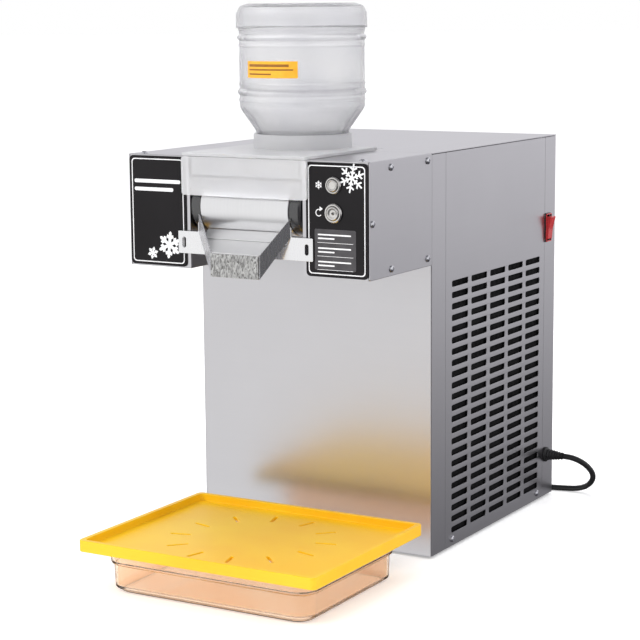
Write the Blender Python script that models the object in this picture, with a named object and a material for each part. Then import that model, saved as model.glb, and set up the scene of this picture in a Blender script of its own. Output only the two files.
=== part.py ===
"""Counter-top snow ice machine: an inverted bottle feeds a tank above a chilled drum,
and a blade under the drum scrapes the frozen film down a chute to a drip tray.

All sizes below are millimetres; make_object() turns them into metres. In the layout X runs
to the right, Y to the back from the cabinet's front panel, and Z up from the counter.
"""
import math

import bmesh
import bpy
from mathutils import Matrix, Vector

METRES = 0.001
GAP = 0.3
SHEET = 1.2

# Cabinet
BODY_HALF = 130.0
BODY_DEPTH = 290.0
BODY_TOP = 392.0
BODY_BASE = 3.0
FRONT_WRAP = 29.0
REAR_WRAP = 28.0
FOOT_RADIUS = 11.0
FOOT_X = 95.0
FOOT_Y = (35.0, 250.0)

# Cooling slots: side panels and rear panel
SLOT_COLUMNS = 5
SLOT_ROWS = 23
SLOT_FIRST_Y = 60.4
SLOT_STEP_Y = 42.9
SLOT_FIRST_Z = 19.0
SLOT_STEP_Z = 11.1
SLOT_LENGTH = 35.4
SLOT_HEIGHT = 6.0
REAR_SLOT_X = (-60.0, 0.0, 60.0)
REAR_SLOT_ROWS = 10
REAR_SLOT_FIRST_Z = 60.0
REAR_SLOT_STEP_Z = 14.0
REAR_SLOT_LENGTH = 50.0

# Head: two side boxes with the drum and the tank between them
HEAD_DEPTH = 120.5
HEAD_BASE = 286.5
BOX_INNER = 61.0
PANEL_INNER = 65.0
PANEL_FRONT = -121.6
PANEL_BACK = -120.8
WINDOW_X = (72.0, 118.0)
WINDOW_Z = (300.0, 380.0)

# Drum line
DRUM_Y = -99.5
DRUM_Z = 345.0
DRUM_RADIUS = 24.6
DRUM_HALF = 47.5
DRUM_BORE = 20.0
END_CAP_RADIUS = 23.8
END_CAP_OUT = 59.4
SHAFT_RADIUS = 5.7
BEARING_RADIUS = 12.0
GEAR_MODULE = 1.4
GEAR_ROOT_DEPTH = 1.55
GEAR_TIP_HEIGHT = 1.15
GEAR_TEETH = 24
PINION_TEETH = 16
GEAR_X = (72.0, 79.0)
PINION_Y = DRUM_Y + GEAR_MODULE * (GEAR_TEETH + PINION_TEETH) / 2
MOTOR_SHAFT_RADIUS = 3.0

# Tank, lid and bottle
TANK_HALF = 60.2
TANK_PLATE_HALF = 67.5
TANK_FRONT = -124.8
TANK_BACK = 31.0
TANK_FLOOR = 372.5
TANK_TOP = 391.8
TANK_WALL = 2.5
TANK_PLATE_BASE = 356.0
LID_BASE = 392.3
LID_TOP = 395.3
LID_BACK = 8.0
BOTTLE_Y = -17.0
SEAT_RADIUS = 54.0
COLLAR_OUT = 46.9
COLLAR_IN = 44.5
COLLAR_TOP = 408.8
LID_HOLE = 32.0

# Chute
CHUTE_BACK = -122.2
EAR_HALF = 73.0
EAR_SLOT_X = 66.5
EAR_SLOT_Z = 311.4
WING_TOP = (49.5, -124.0)
WING_END = (26.0, -139.5)
WING_HEIGHTS_TOP = (321.0, 338.5)
WING_HEIGHTS_END = (283.4, 305.2)
FLOOR_START = (-139.0, 305.4)
FLOOR_ANGLE = math.radians(34.7)
FLOOR_THICK = 1.0

# Controls: centre X, centre Z, ring radius, barrel radius, cap radius
BUTTON_X = 94.0
BUTTONS = {
    "button_cooling": (370.5, 8.0, 6.6, 5.4),
    "button_rotation": (345.6, 9.0, 7.6, 6.2),
}
BUTTON_PLAY = 0.4
BEZEL_FRONT = -124.2
BARREL_BACK = -100.0
CAP_FRONT = -124.9
CAP_BACK = -108.0
SWITCH_Y = 269.0
SWITCH_Z = 295.0
ROCKER_PIVOT_X = 127.0

# Drip tray
TRAY_X = 22.0
TRAY_Y = -151.0
TRAY_WIDTH = 250.0
TRAY_DEPTH = 200.0
TRAY_TOP = 50.7
TRAY_BASE = 40.0
TRAY_RECESS = 44.0
TRAY_RIM = 5.0
TRAY_SLOTS = 12
TRAY_SLOT_IN = 60.0
TRAY_SLOT_OUT = 80.0
TRAY_SLOT_WIDTH = 3.0
BIN_WIDTH = 220.0
BIN_DEPTH = 170.0
BIN_TOP = 39.6
BIN_STEP_Z = 26.0
BIN_WALL = 2.2
BIN_FLOOR = 2.0

# Mains lead
CORD_RADIUS = 3.0
GLAND_Y = 269.5
GLAND_Z = 48.6
GLAND_END = 151.0
COIL_X = -4.0
COIL_Y = 336.0
COIL_IN = 24.0
COIL_OUT = 42.2
COIL_HEIGHT = 18.4
CORD_ROUTE = [
    (151.3, 269.5, 48.6), (158.5, 269.8, 48.2), (166.0, 271.8, 46.0), (172.5, 277.0, 41.0),
    (176.0, 285.0, 33.5), (175.5, 294.5, 24.5), (170.5, 302.5, 15.5), (162.0, 307.5, 8.2),
    (151.0, 309.0, 4.3), (138.0, 307.6, 3.3), (122.0, 304.0, 3.2), (104.0, 299.8, 3.2),
    (86.0, 297.4, 3.2), (68.0, 297.0, 3.2), (43.0, 297.0, 3.2), (18.4, 297.0, 3.2),
]
TAIL_ROUTE = [
    (-26.6, 297.0, 15.2), (-36.0, 297.6, 14.8), (-46.0, 300.0, 13.0), (-55.0, 303.6, 10.6),
    (-64.0, 305.6, 9.2), (-70.0, 306.0, 9.0),
]
PLUG_START = (-70.3, 306.0, 9.0)

# The part's origin: the middle of its footprint, without the lead, on the counter
ORIGIN_X = (TRAY_X + TRAY_WIDTH / 2 - BODY_HALF) / 2
ORIGIN_Y = (TRAY_Y - TRAY_DEPTH / 2 + BODY_DEPTH) / 2


def clear_scene():
    """Removes every object, so that the scene holds only this part."""
    for obj in list(bpy.data.objects):
        bpy.data.objects.remove(obj)


def make_material(name, colour, roughness, metallic=0.0, clear=0.0):
    """A Principled material; colour is linear RGB and clear is the transmission weight."""
    material = bpy.data.materials.new(name)
    material.use_nodes = True
    shader = material.node_tree.nodes["Principled BSDF"]
    shader.inputs["Base Color"].default_value = (*colour, 1.0)
    shader.inputs["Roughness"].default_value = roughness
    shader.inputs["Metallic"].default_value = metallic
    shader.inputs["Transmission Weight"].default_value = clear
    material.diffuse_color = (*colour, 1.0)
    return material


def link(obj, parent):
    """Puts an object in the scene under a parent."""
    bpy.context.scene.collection.objects.link(obj)
    obj.parent = parent
    return obj


def make_object(name, shape, finish, pivot=(0.0, 0.0, 0.0), smooth=False):
    """Makes a named object from a bmesh in millimetres, with its origin at the pivot."""
    bmesh.ops.recalc_face_normals(shape, faces=shape.faces)
    origin = Vector(pivot)
    for vert in shape.verts:
        vert.co = (vert.co - origin) * METRES
    mesh = bpy.data.meshes.new(name)
    shape.to_mesh(mesh)
    shape.free()
    mesh.materials.append(FINISHES[finish])
    if smooth:
        mesh.shade_smooth()
        mesh.set_sharp_from_angle(angle=math.radians(35))
    obj = bpy.data.objects.new(name, mesh)
    obj.location = origin * METRES
    return link(obj, MACHINE)


def make_guide(name, shape):
    """Makes a hidden cutter or filler for a Boolean."""
    guide = make_object(name, shape, "guide")
    guide.hide_render = True
    guide.display_type = "WIRE"
    return guide


def combine(obj, shape, operation):
    """Cuts a bmesh out of an object, or adds it, with an exact Boolean."""
    guide = make_guide(f"{obj.name}_{operation.lower()}_{len(obj.modifiers)}", shape)
    boolean = obj.modifiers.new(operation.title(), "BOOLEAN")
    boolean.operation = operation
    boolean.solver = "EXACT"
    boolean.object = guide
    return obj


def cut(obj, shape):
    """Cuts a bmesh out of an object."""
    return combine(obj, shape, "DIFFERENCE")


def add(obj, shape):
    """Adds a bmesh to an object as one body."""
    return combine(obj, shape, "UNION")


def on_axis(axis, u, v, w):
    """A point at w along an axis, with u and v on the other two axes in X, Y, Z order."""
    return {"X": (w, u, v), "Y": (u, w, v), "Z": (u, v, w)}[axis]


def loft(rings):
    """A closed bmesh through rings of points, with its first and last rings filled."""
    shape = bmesh.new()
    rows = [[shape.verts.new(point) for point in ring] for ring in rings]
    count = len(rows[0])
    for row, following in zip(rows, rows[1:]):
        for i in range(count):
            j = (i + 1) % count
            shape.faces.new((row[i], row[j], following[j], following[i]))
    shape.faces.new(rows[0])
    shape.faces.new(rows[-1])
    return shape


def prism(outline, axis, low, high):
    """An outline of (u, v) points pushed along an axis from low to high."""
    return loft([[on_axis(axis, u, v, w) for u, v in outline] for w in (low, high)])


def block(low, high):
    """A rectangular block between two corners."""
    outline = [(low[0], low[1]), (high[0], low[1]), (high[0], high[1]), (low[0], high[1])]
    return prism(outline, "Z", low[2], high[2])


def merged(shapes):
    """Several separate bmeshes as one, for a cutter with many bodies."""
    total = bmesh.new()
    for shape in shapes:
        mesh = bpy.data.meshes.new("part_of_cutter")
        shape.to_mesh(mesh)
        shape.free()
        total.from_mesh(mesh)
        bpy.data.meshes.remove(mesh)
    return total


def circle(radius, u=0.0, v=0.0, steps=24):
    """A circle's points around (u, v)."""
    angles = [2 * math.pi * i / steps for i in range(steps)]
    return [(u + radius * math.cos(a), v + radius * math.sin(a)) for a in angles]


def rounded_rectangle(width, height, radius, u=0.0, v=0.0, steps=4):
    """A rectangle's outline around (u, v) with each corner as an arc of some steps."""
    points = []
    corners = ((1, 1, 0), (-1, 1, 90), (-1, -1, 180), (1, -1, 270))
    for side_u, side_v, start in corners:
        centre_u = u + side_u * (width / 2 - radius)
        centre_v = v + side_v * (height / 2 - radius)
        for i in range(steps + 1):
            angle = math.radians(start + 90 * i / steps)
            points.append((centre_u + radius * math.cos(angle), centre_v + radius * math.sin(angle)))
    return points


def turned(profile, axis, u, v, steps=24):
    """A closed (radius, height) profile turned about an axis at (u, v)."""
    shape = bmesh.new()
    rows = []
    for radius, height in profile:
        if radius == 0:
            rows.append([shape.verts.new(on_axis(axis, u, v, height))] * steps)
        else:
            ring = circle(radius, u, v, steps)
            rows.append([shape.verts.new(on_axis(axis, a, b, height)) for a, b in ring])
    for row, following in zip(rows, rows[1:] + rows[:1]):
        for i in range(steps):
            j = (i + 1) % steps
            corners = list(dict.fromkeys((row[i], row[j], following[j], following[i])))
            if len(corners) > 2:
                shape.faces.new(corners)
    return shape


def pipe(name, route, radius, finish, sides=2):
    """A round tube along a smooth curve through the route's points."""
    curve = bpy.data.curves.new(name, "CURVE")
    curve.dimensions = "3D"
    curve.bevel_depth = radius * METRES
    curve.bevel_resolution = sides
    curve.use_fill_caps = True
    points = smooth_path(route, radius * 5)
    spline = curve.splines.new("POLY")
    spline.points.add(len(points) - 1)
    for target, point in zip(spline.points, points):
        target.co = (*(point * METRES), 1.0)
    curve.materials.append(FINISHES[finish])
    return link(bpy.data.objects.new(name, curve), MACHINE)


def smooth_path(route, spacing):
    """Points about a spacing apart on a Catmull-Rom curve through the route."""
    route = [Vector(point) for point in route]
    ends = [2 * route[0] - route[1]] + route + [2 * route[-1] - route[-2]]
    points = [route[0]]
    for before, start, end, after in zip(ends, ends[1:], ends[2:], ends[3:]):
        steps = max(1, round((end - start).length / spacing))
        for i in range(1, steps + 1):
            t = i / steps
            linear = end - before
            square = 2 * before - 5 * start + 4 * end - after
            cube = 3 * start - before - 3 * end + after
            points.append((2 * start + linear * t + square * t ** 2 + cube * t ** 3) / 2)
    return points


def mirrored_x(outline):
    """An outline of (x, v) points mirrored to the other side of X = 0."""
    return [(-x, v) for x, v in outline]


def build_cabinet():
    """Base plate, feet and the sheet metal skins of the upright cabinet."""
    inset = SHEET + GAP
    top = BODY_TOP - SHEET - GAP
    low = (-BODY_HALF + inset, inset, BODY_BASE)
    high = (BODY_HALF - inset, BODY_DEPTH - inset, BODY_BASE + 2.0)
    make_object("base_plate", block(low, high), "sheet")
    for side, x in (("left", -FOOT_X), ("right", FOOT_X)):
        for end, y in zip(("front", "rear"), FOOT_Y):
            top_of_foot = BODY_BASE - GAP
            profile = [(0, 0), (FOOT_RADIUS - 1, 0), (FOOT_RADIUS, top_of_foot), (0, top_of_foot)]
            make_object(f"foot_{end}_{side}", turned(profile, "Z", x, y, 16), "rubber")

    front = [
        (-BODY_HALF, 0), (BODY_HALF, 0), (BODY_HALF, FRONT_WRAP), (BODY_HALF - SHEET, FRONT_WRAP),
        (BODY_HALF - SHEET, SHEET), (SHEET - BODY_HALF, SHEET), (SHEET - BODY_HALF, FRONT_WRAP),
        (-BODY_HALF, FRONT_WRAP),
    ]
    panel = make_object("front_panel", prism(front, "Z", BODY_BASE, top), "sheet")
    for side in (-1, 1):
        edges = sorted((side * WINDOW_X[0], side * WINDOW_X[1]))
        cut(panel, block((edges[0], -2, WINDOW_Z[0]), (edges[1], 4, WINDOW_Z[1])))
    cut(panel, block((-TANK_HALF - 1.8, -2, TANK_FLOOR - 4.5), (TANK_HALF + 1.8, 4, BODY_TOP)))

    back = [(x, BODY_DEPTH - y) for x, y in front]
    back = [(x, max(y, BODY_DEPTH - REAR_WRAP)) for x, y in back]
    panel = make_object("rear_panel", prism(back, "Z", BODY_BASE, top), "sheet")
    slots = []
    for x in REAR_SLOT_X:
        for row in range(REAR_SLOT_ROWS):
            z = REAR_SLOT_FIRST_Z + REAR_SLOT_STEP_Z * row
            corner = (x - REAR_SLOT_LENGTH / 2, BODY_DEPTH - 4, z - SLOT_HEIGHT / 2)
            far = (x + REAR_SLOT_LENGTH / 2, BODY_DEPTH + 2, z + SLOT_HEIGHT / 2)
            slots.append(block(corner, far))
    cut(panel, merged(slots))
    cut(panel, block((120, SWITCH_Y - 6, SWITCH_Z - 14.3), (140, SWITCH_Y + 6, SWITCH_Z + 14.3)))
    cut(panel, prism(circle(6.3, GLAND_Y, GLAND_Z, 16), "X", 120, 140))

    for side, name in ((-1, "side_panel_left"), (1, "side_panel_right")):
        edges = sorted((side * (BODY_HALF - SHEET), side * BODY_HALF))
        low = (edges[0], FRONT_WRAP + GAP, BODY_BASE)
        high = (edges[1], BODY_DEPTH - REAR_WRAP - GAP, top)
        panel = make_object(name, block(low, high), "sheet")
        slots = []
        for column in range(SLOT_COLUMNS):
            y = SLOT_FIRST_Y + SLOT_STEP_Y * column
            for row in range(SLOT_ROWS):
                z = SLOT_FIRST_Z + SLOT_STEP_Z * row
                corner = (edges[0] - 2, y - SLOT_LENGTH / 2, z - SLOT_HEIGHT / 2)
                far = (edges[1] + 2, y + SLOT_LENGTH / 2, z + SLOT_HEIGHT / 2)
                slots.append(block(corner, far))
        cut(panel, merged(slots))

    notch = TANK_HALF + 1.8
    outline = [
        (-BODY_HALF, 0), (-notch, 0), (-notch, TANK_BACK + 1.5), (notch, TANK_BACK + 1.5),
        (notch, 0), (BODY_HALF, 0), (BODY_HALF, BODY_DEPTH), (-BODY_HALF, BODY_DEPTH),
    ]
    make_object("top_cover", prism(outline, "Z", BODY_TOP - SHEET, BODY_TOP), "sheet")


def build_head():
    """The two side boxes of the head, their outer covers and the black control panels."""
    cover = BODY_HALF - SHEET
    for side, word in ((-1, "left"), (1, "right")):
        x_edges = sorted((side * BOX_INNER, side * (cover - GAP)))
        box = block((x_edges[0], -HEAD_DEPTH, HEAD_BASE), (x_edges[1], -GAP, BODY_TOP))
        box = make_object(f"head_box_{word}", box, "sheet")
        hollow = sorted((side * (BOX_INNER + SHEET), side * (cover + 5)))
        low = (hollow[0], SHEET - HEAD_DEPTH, HEAD_BASE + SHEET)
        cut(box, block(low, (hollow[1], 5, BODY_TOP - SHEET)))
        wall = sorted((side * (BOX_INNER - 2), side * (BOX_INNER + 4)))
        cut(box, prism(circle(BEARING_RADIUS + GAP, DRUM_Y, DRUM_Z), "X", *wall))

        plate = sorted((side * cover, side * BODY_HALF))
        low = (plate[0], -HEAD_DEPTH, HEAD_BASE)
        make_object(f"head_cover_{word}", block(low, (plate[1], -GAP, BODY_TOP)), "sheet")

        width = BODY_HALF - 1.4 - PANEL_INNER
        centre_x = side * (PANEL_INNER + width / 2)
        height = BODY_TOP - HEAD_BASE - 2.4
        centre_z = (BODY_TOP + HEAD_BASE) / 2
        outline = rounded_rectangle(width, height, 4.0, centre_x, centre_z)
        panel = prism(outline, "Y", PANEL_FRONT, PANEL_BACK)
        panel = make_object(f"control_panel_{word}", panel, "gloss_black")
        if side > 0:
            for z, _ring, barrel, _cap in BUTTONS.values():
                hole = circle(barrel + BUTTON_PLAY, BUTTON_X, z)
                cut(panel, prism(hole, "Y", -130, -110))
                cut(box, prism(hole, "Y", -130, -110))


def gear_outline(teeth, centre_u, centre_v, turn):
    """A spur gear's outline with straight sided teeth and room between them."""
    pitch = GEAR_MODULE * teeth / 2
    root, tip = pitch - GEAR_ROOT_DEPTH, pitch + GEAR_TIP_HEIGHT
    levels = ((root, 0.29), (tip, 0.12), (tip, -0.12), (root, -0.29))
    step = 2 * math.pi / teeth
    points = []
    for tooth in range(teeth):
        for radius, part in levels:
            angle = step * (tooth - part) + turn
            points.append((centre_u + radius * math.cos(angle), centre_v + radius * math.sin(angle)))
    return points


def build_drum_line():
    """The freezing drum on its shaft, with bearings, gear drive and refrigerant joint."""
    axis = (0, DRUM_Y, DRUM_Z)
    sleeve = [
        (DRUM_BORE, -DRUM_HALF), (DRUM_RADIUS, -DRUM_HALF), (DRUM_RADIUS, DRUM_HALF),
        (DRUM_BORE, DRUM_HALF),
    ]
    make_object("freezing_drum", turned(sleeve, "X", DRUM_Y, DRUM_Z, 48), "polished", axis, True)
    for side, word in ((-1, "left"), (1, "right")):
        inner = side * (DRUM_HALF + GAP)
        outer = side * END_CAP_OUT
        bore = SHAFT_RADIUS + GAP
        ring = [(bore, inner), (END_CAP_RADIUS, inner), (END_CAP_RADIUS, outer), (bore, outer)]
        cap = turned(ring, "X", DRUM_Y, DRUM_Z, 32)
        make_object(f"drum_end_cap_{word}", cap, "gloss_black", axis, True)
        inner = side * (BOX_INNER - 0.6)
        outer = side * (BOX_INNER + 7)
        bore += 0.1
        ring = [(bore, inner), (BEARING_RADIUS, inner), (BEARING_RADIUS, outer), (bore, outer)]
        bearing = turned(ring, "X", DRUM_Y, DRUM_Z, 16)
        make_object(f"shaft_bearing_{word}", bearing, "polished", (0, DRUM_Y, DRUM_Z), True)
    shaft = prism(circle(SHAFT_RADIUS, DRUM_Y, DRUM_Z, 16), "X", -104.0, GEAR_X[1] + 1)
    make_object("drum_shaft", shaft, "polished", axis, True)

    gear = prism(gear_outline(GEAR_TEETH, DRUM_Y, DRUM_Z, 0.0), "X", *GEAR_X)
    gear = make_object("drum_gear", gear, "nylon", axis)
    cut(gear, prism(circle(SHAFT_RADIUS + GAP, DRUM_Y, DRUM_Z, 16), "X", GEAR_X[0] - 2, GEAR_X[1] + 2))
    motor_axis = (0, PINION_Y, DRUM_Z)
    facing_gap = math.pi + math.pi / PINION_TEETH
    pinion = prism(gear_outline(PINION_TEETH, PINION_Y, DRUM_Z, facing_gap), "X", *GEAR_X)
    make_object("motor_pinion", pinion, "nylon", motor_axis)
    stub = prism(circle(MOTOR_SHAFT_RADIUS, PINION_Y, DRUM_Z, 12), "X", GEAR_X[1] + GAP, 94.0)
    make_object("motor_shaft", stub, "polished", motor_axis, True)

    low = (86.0, PINION_Y - 20, DRUM_Z - 20)
    motor = make_object("gear_motor", block(low, (102.0, PINION_Y + 20, DRUM_Z + 20)), "dark_metal")
    add(motor, prism(circle(16.0, PINION_Y, DRUM_Z), "X", 101.0, 125.0))
    cut(motor, prism(circle(MOTOR_SHAFT_RADIUS + 0.4, PINION_Y, DRUM_Z, 12), "X", 84.0, 96.0))

    bore = SHAFT_RADIUS + 0.4
    union = [(bore, -74), (15, -74), (15, -107), (0, -107), (0, -104.5), (bore, -104.5)]
    make_object("rotary_joint", turned(union, "X", DRUM_Y, DRUM_Z), "brass", axis, True)


def build_tank():
    """The clear tank over the drum and the lid that carries the bottle."""
    plate = rounded_rectangle(
        2 * TANK_PLATE_HALF, TANK_TOP - TANK_PLATE_BASE, 3.0, 0.0, (TANK_TOP + TANK_PLATE_BASE) / 2, 3
    )
    tank = make_object("liquid_tank", prism(plate, "Y", TANK_FRONT, TANK_FRONT + TANK_WALL), "clear_plastic")
    add(tank, block((-TANK_HALF, TANK_FRONT + 1.2, TANK_FLOOR), (TANK_HALF, TANK_BACK, TANK_TOP)))
    inner = TANK_HALF - TANK_WALL
    low = (-inner, TANK_FRONT + 2 * TANK_WALL, TANK_FLOOR + TANK_WALL)
    cut(tank, block(low, (inner, TANK_BACK - TANK_WALL, TANK_TOP + 5)))
    cut(tank, block((-42, DRUM_Y - 1, TANK_FLOOR - 5), (42, DRUM_Y + 1, TANK_FLOOR + 5)))

    reach = LID_BACK - BOTTLE_Y
    start = math.asin(reach / SEAT_RADIUS)
    outline = [(-TANK_PLATE_HALF, TANK_FRONT), (TANK_PLATE_HALF, TANK_FRONT), (TANK_PLATE_HALF, LID_BACK)]
    arc_steps = 12
    for i in range(arc_steps + 1):
        angle = start + (math.pi - 2 * start) * i / arc_steps
        outline.append((SEAT_RADIUS * math.cos(angle), BOTTLE_Y + SEAT_RADIUS * math.sin(angle)))
    outline.append((-TANK_PLATE_HALF, LID_BACK))
    lid = make_object("tank_lid", prism(outline, "Z", LID_BASE, LID_TOP), "clear_plastic")
    low, high = LID_TOP - 1.0, COLLAR_TOP
    collar = [(COLLAR_IN, low), (COLLAR_OUT, low), (COLLAR_OUT, high), (COLLAR_IN, high)]
    add(lid, turned(collar, "Z", 0.0, BOTTLE_Y, 36))
    cut(lid, prism(circle(LID_HOLE, 0.0, BOTTLE_Y, 32), "Z", LID_BASE - 3, LID_TOP + 3))


def build_bottle():
    """The inverted bottle with its screw cap and the drip valve's pin."""
    outside = [
        (0, 531), (51, 531), (58.5, 528.5), (62, 522), (62.3, 508), (59.6, 505.5), (59.6, 432),
        (44.2, 410.5), (43.6, 406.5), (40.3, 404.1), (27, 390.8), (26, 390), (26, 384),
    ]
    inside = [
        (24.4, 384), (24.4, 390.5), (38.8, 404.8), (42.4, 411), (57.9, 432.5), (57.9, 505),
        (60.4, 508), (60.2, 521), (57.5, 527), (50, 529.3), (0, 529.3),
    ]
    bottle = turned(outside + inside, "Z", 0.0, BOTTLE_Y, 28)
    make_object("water_bottle", bottle, "clear_plastic", (0, BOTTLE_Y, 384), True)
    cap = [(5, 378.6), (29, 378.6), (29, 389.5), (26.3, 389.5), (26.3, 380.6), (5, 380.6)]
    make_object("bottle_cap", turned(cap, "Z", 0.0, BOTTLE_Y, 28), "white_plastic", (0, BOTTLE_Y, 384))
    pin = [(0, 376), (2.2, 376), (2.2, 381), (8, 381), (8, 382.5), (2.2, 382.5), (2.2, 387), (0, 387)]
    make_object("valve_pin", turned(pin, "Z", 0.0, BOTTLE_Y, 16), "white_plastic", (0, BOTTLE_Y, 381))


def slope_block(start, end, low, high, half_width):
    """A block along the chute's slope: start and end run up it, low and high stand off it."""
    along = Vector((0, math.cos(FLOOR_ANGLE), math.sin(FLOOR_ANGLE)))
    out = Vector((0, -math.sin(FLOOR_ANGLE), math.cos(FLOOR_ANGLE)))
    foot = Vector((0, *FLOOR_START))
    rings = []
    for x in (-half_width, half_width):
        corners = ((start, low), (end, low), (end, high), (start, high))
        rings.append([foot + Vector((x, 0, 0)) + along * s + out * h for s, h in corners])
    return loft(rings)


def wing(side):
    """One upright side of the chute, which runs in and forwards from the drum's end."""
    top = Vector((side * WING_TOP[0], WING_TOP[1], 0))
    end = Vector((side * WING_END[0], WING_END[1], 0))
    along = (end - top).normalized()
    inward = Vector((-along.y, along.x, 0)) * SHEET
    if inward.y < 0:
        inward = -inward
    rings = []
    for offset in (Vector((0, 0, 0)), inward):
        ring = []
        for place, z in ((top, WING_HEIGHTS_TOP[0]), (end, WING_HEIGHTS_END[0]),
                         (end, WING_HEIGHTS_END[1]), (top, WING_HEIGHTS_TOP[1])):
            ring.append(place + offset + Vector((0, 0, z)))
        rings.append(ring)
    return loft(rings)


def build_chute():
    """The pull-off chute: eared frame, sloped floor, lip, scraper blade and its holder."""
    half = [
        (0, 301), (EAR_HALF, 301), (EAR_HALF, 322), (50.5, 322), (50.5, 331), (46.2, 331),
        (46.2, 312), (0, 312),
    ]
    outline = half[1:-1] + mirrored_x(half[1:-1])[::-1]
    frame = prism(outline, "Y", CHUTE_BACK - SHEET, CHUTE_BACK)
    frame = make_object("chute_frame", frame, "bright_sheet", (0, CHUTE_BACK, 301))
    for side in (-1, 1):
        add(frame, wing(side))
        slot = rounded_rectangle(4.0, 10.0, 1.9, side * EAR_SLOT_X, EAR_SLOT_Z, 3)
        cut(frame, prism(slot, "Y", CHUTE_BACK - 5, CHUTE_BACK + 3))
    front = WING_END[1] - 0.4
    low = (-WING_END[0] - 0.5, front, WING_HEIGHTS_END[0])
    add(frame, block(low, (WING_END[0] + 0.5, front + SHEET, WING_HEIGHTS_END[1])))

    low = (-WING_END[0] + 0.2, front - 1.5, WING_HEIGHTS_END[0] + 0.4)
    lip = block(low, (WING_END[0] - 0.2, front - GAP, WING_HEIGHTS_END[1] - 0.2))
    make_object("discharge_lip", lip, "bright_sheet", (0, CHUTE_BACK, 301))

    slope = math.tan(FLOOR_ANGLE)
    plan = [
        (-24.6, -138.2), (24.6, -138.2), (45.6, -124.4), (45.6, -115.2), (-45.6, -115.2),
        (-45.6, -124.4),
    ]
    rings = []
    for drop in (0.0, FLOOR_THICK):
        rings.append([(x, y, FLOOR_START[1] + slope * (y - FLOOR_START[0]) - drop) for x, y in plan])
    make_object("chute_floor", loft(rings), "bright_sheet", (0, CHUTE_BACK, 301))

    blade = slope_block(18.5, 31.6, 0.4, 1.2, 45.2)
    make_object("scraper_blade", blade, "polished", (0, CHUTE_BACK, 301))
    holder = slope_block(20.0, 29.0, -5.3, -1.5, 42.0)
    make_object("blade_holder", holder, "dark_metal", (0, CHUTE_BACK, 301))


def build_controls():
    """Two push buttons on the right control panel and the rocker switch at the side."""
    seat = PANEL_FRONT - GAP
    for name, (z, ring, barrel, cap) in BUTTONS.items():
        bore = cap + GAP
        pivot = (BUTTON_X, seat, z)
        bezel = [
            (bore, BEZEL_FRONT), (ring - 1, BEZEL_FRONT), (ring, BEZEL_FRONT + 1), (ring, seat),
            (barrel, seat), (barrel, BARREL_BACK), (bore, BARREL_BACK),
        ]
        bezel = turned(bezel, "Y", BUTTON_X, z, 20)
        make_object(f"{name}_bezel", bezel, "polished", pivot, True)
        dish = 0.8 if name == "button_rotation" else 0.0
        shape = [
            (0, CAP_FRONT + dish), (cap - 0.8, CAP_FRONT), (cap, CAP_FRONT + 0.5), (cap, CAP_BACK),
            (0, CAP_BACK),
        ]
        make_object(f"{name}_cap", turned(shape, "Y", BUTTON_X, z, 20), "polished", pivot, True)

    x = BODY_HALF + GAP
    low = (x, SWITCH_Y - 6.8, SWITCH_Z - 15.3)
    switch = make_object("switch_bezel", block(low, (x + 2, SWITCH_Y + 6.8, SWITCH_Z + 15.3)), "gloss_black")
    add(switch, block((112, SWITCH_Y - 5.7, SWITCH_Z - 14), (x + 0.5, SWITCH_Y + 5.7, SWITCH_Z + 14)))
    cut(switch, block((116, SWITCH_Y - 4.8, SWITCH_Z - 13.3), (140, SWITCH_Y + 4.8, SWITCH_Z + 13.3)))
    side = [
        (133.2, 283.6), (134.2, 294.0), (137.5, 305.5), (131.0, 304.8), (122.0, 300.0),
        (122.0, 290.0), (128.0, 284.0),
    ]
    rings = [[(px, SWITCH_Y + y, pz) for px, pz in side] for y in (-4.4, 4.4)]
    make_object("power_rocker", loft(rings), "red_plastic", (ROCKER_PIVOT_X, SWITCH_Y, SWITCH_Z))


def build_lead():
    """The mains lead: gland, free tube, coil of spare length, tail and plug."""
    gland = [
        (0, 118), (5.9, 118), (5.9, BODY_HALF + GAP), (8, BODY_HALF + GAP), (8, 132.2), (6.2, 133),
        (6.2, 138.5), (4.2, GLAND_END), (0, GLAND_END),
    ]
    gland = turned(gland, "X", GLAND_Y, GLAND_Z, 20)
    make_object("cord_gland", gland, "rubber", (BODY_HALF, GLAND_Y, GLAND_Z))
    pipe("power_cord", CORD_ROUTE, CORD_RADIUS, "rubber")
    pipe("cord_tail", TAIL_ROUTE, CORD_RADIUS, "rubber")
    ring = [(COIL_IN, 0), (COIL_OUT, 0), (COIL_OUT, COIL_HEIGHT), (COIL_IN, COIL_HEIGHT)]
    make_object("cord_coil", turned(ring, "Z", COIL_X, COIL_Y, 32), "rubber", (COIL_X, COIL_Y, 0))

    start_x, y, z = PLUG_START
    sections = ((0, 9, 9, 4.0), (12, 12, 11, 4.5), (18, 24, 16, 5.0), (40, 24, 16, 5.0), (42, 21, 13, 4.5))
    rings = []
    for along, width, height, radius in sections:
        outline = rounded_rectangle(width, height, radius, y, z, 3)
        rings.append([on_axis("X", u, v, start_x - along) for u, v in outline])
    plug = make_object("mains_plug", loft(rings), "rubber", PLUG_START)
    for side in (-1, 1):
        offset = side * 6.35
        low = (start_x - 59, y + offset - 0.8, z - 3.2)
        add(plug, block(low, (start_x - 41, y + offset + 0.8, z + 3.2)))


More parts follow.
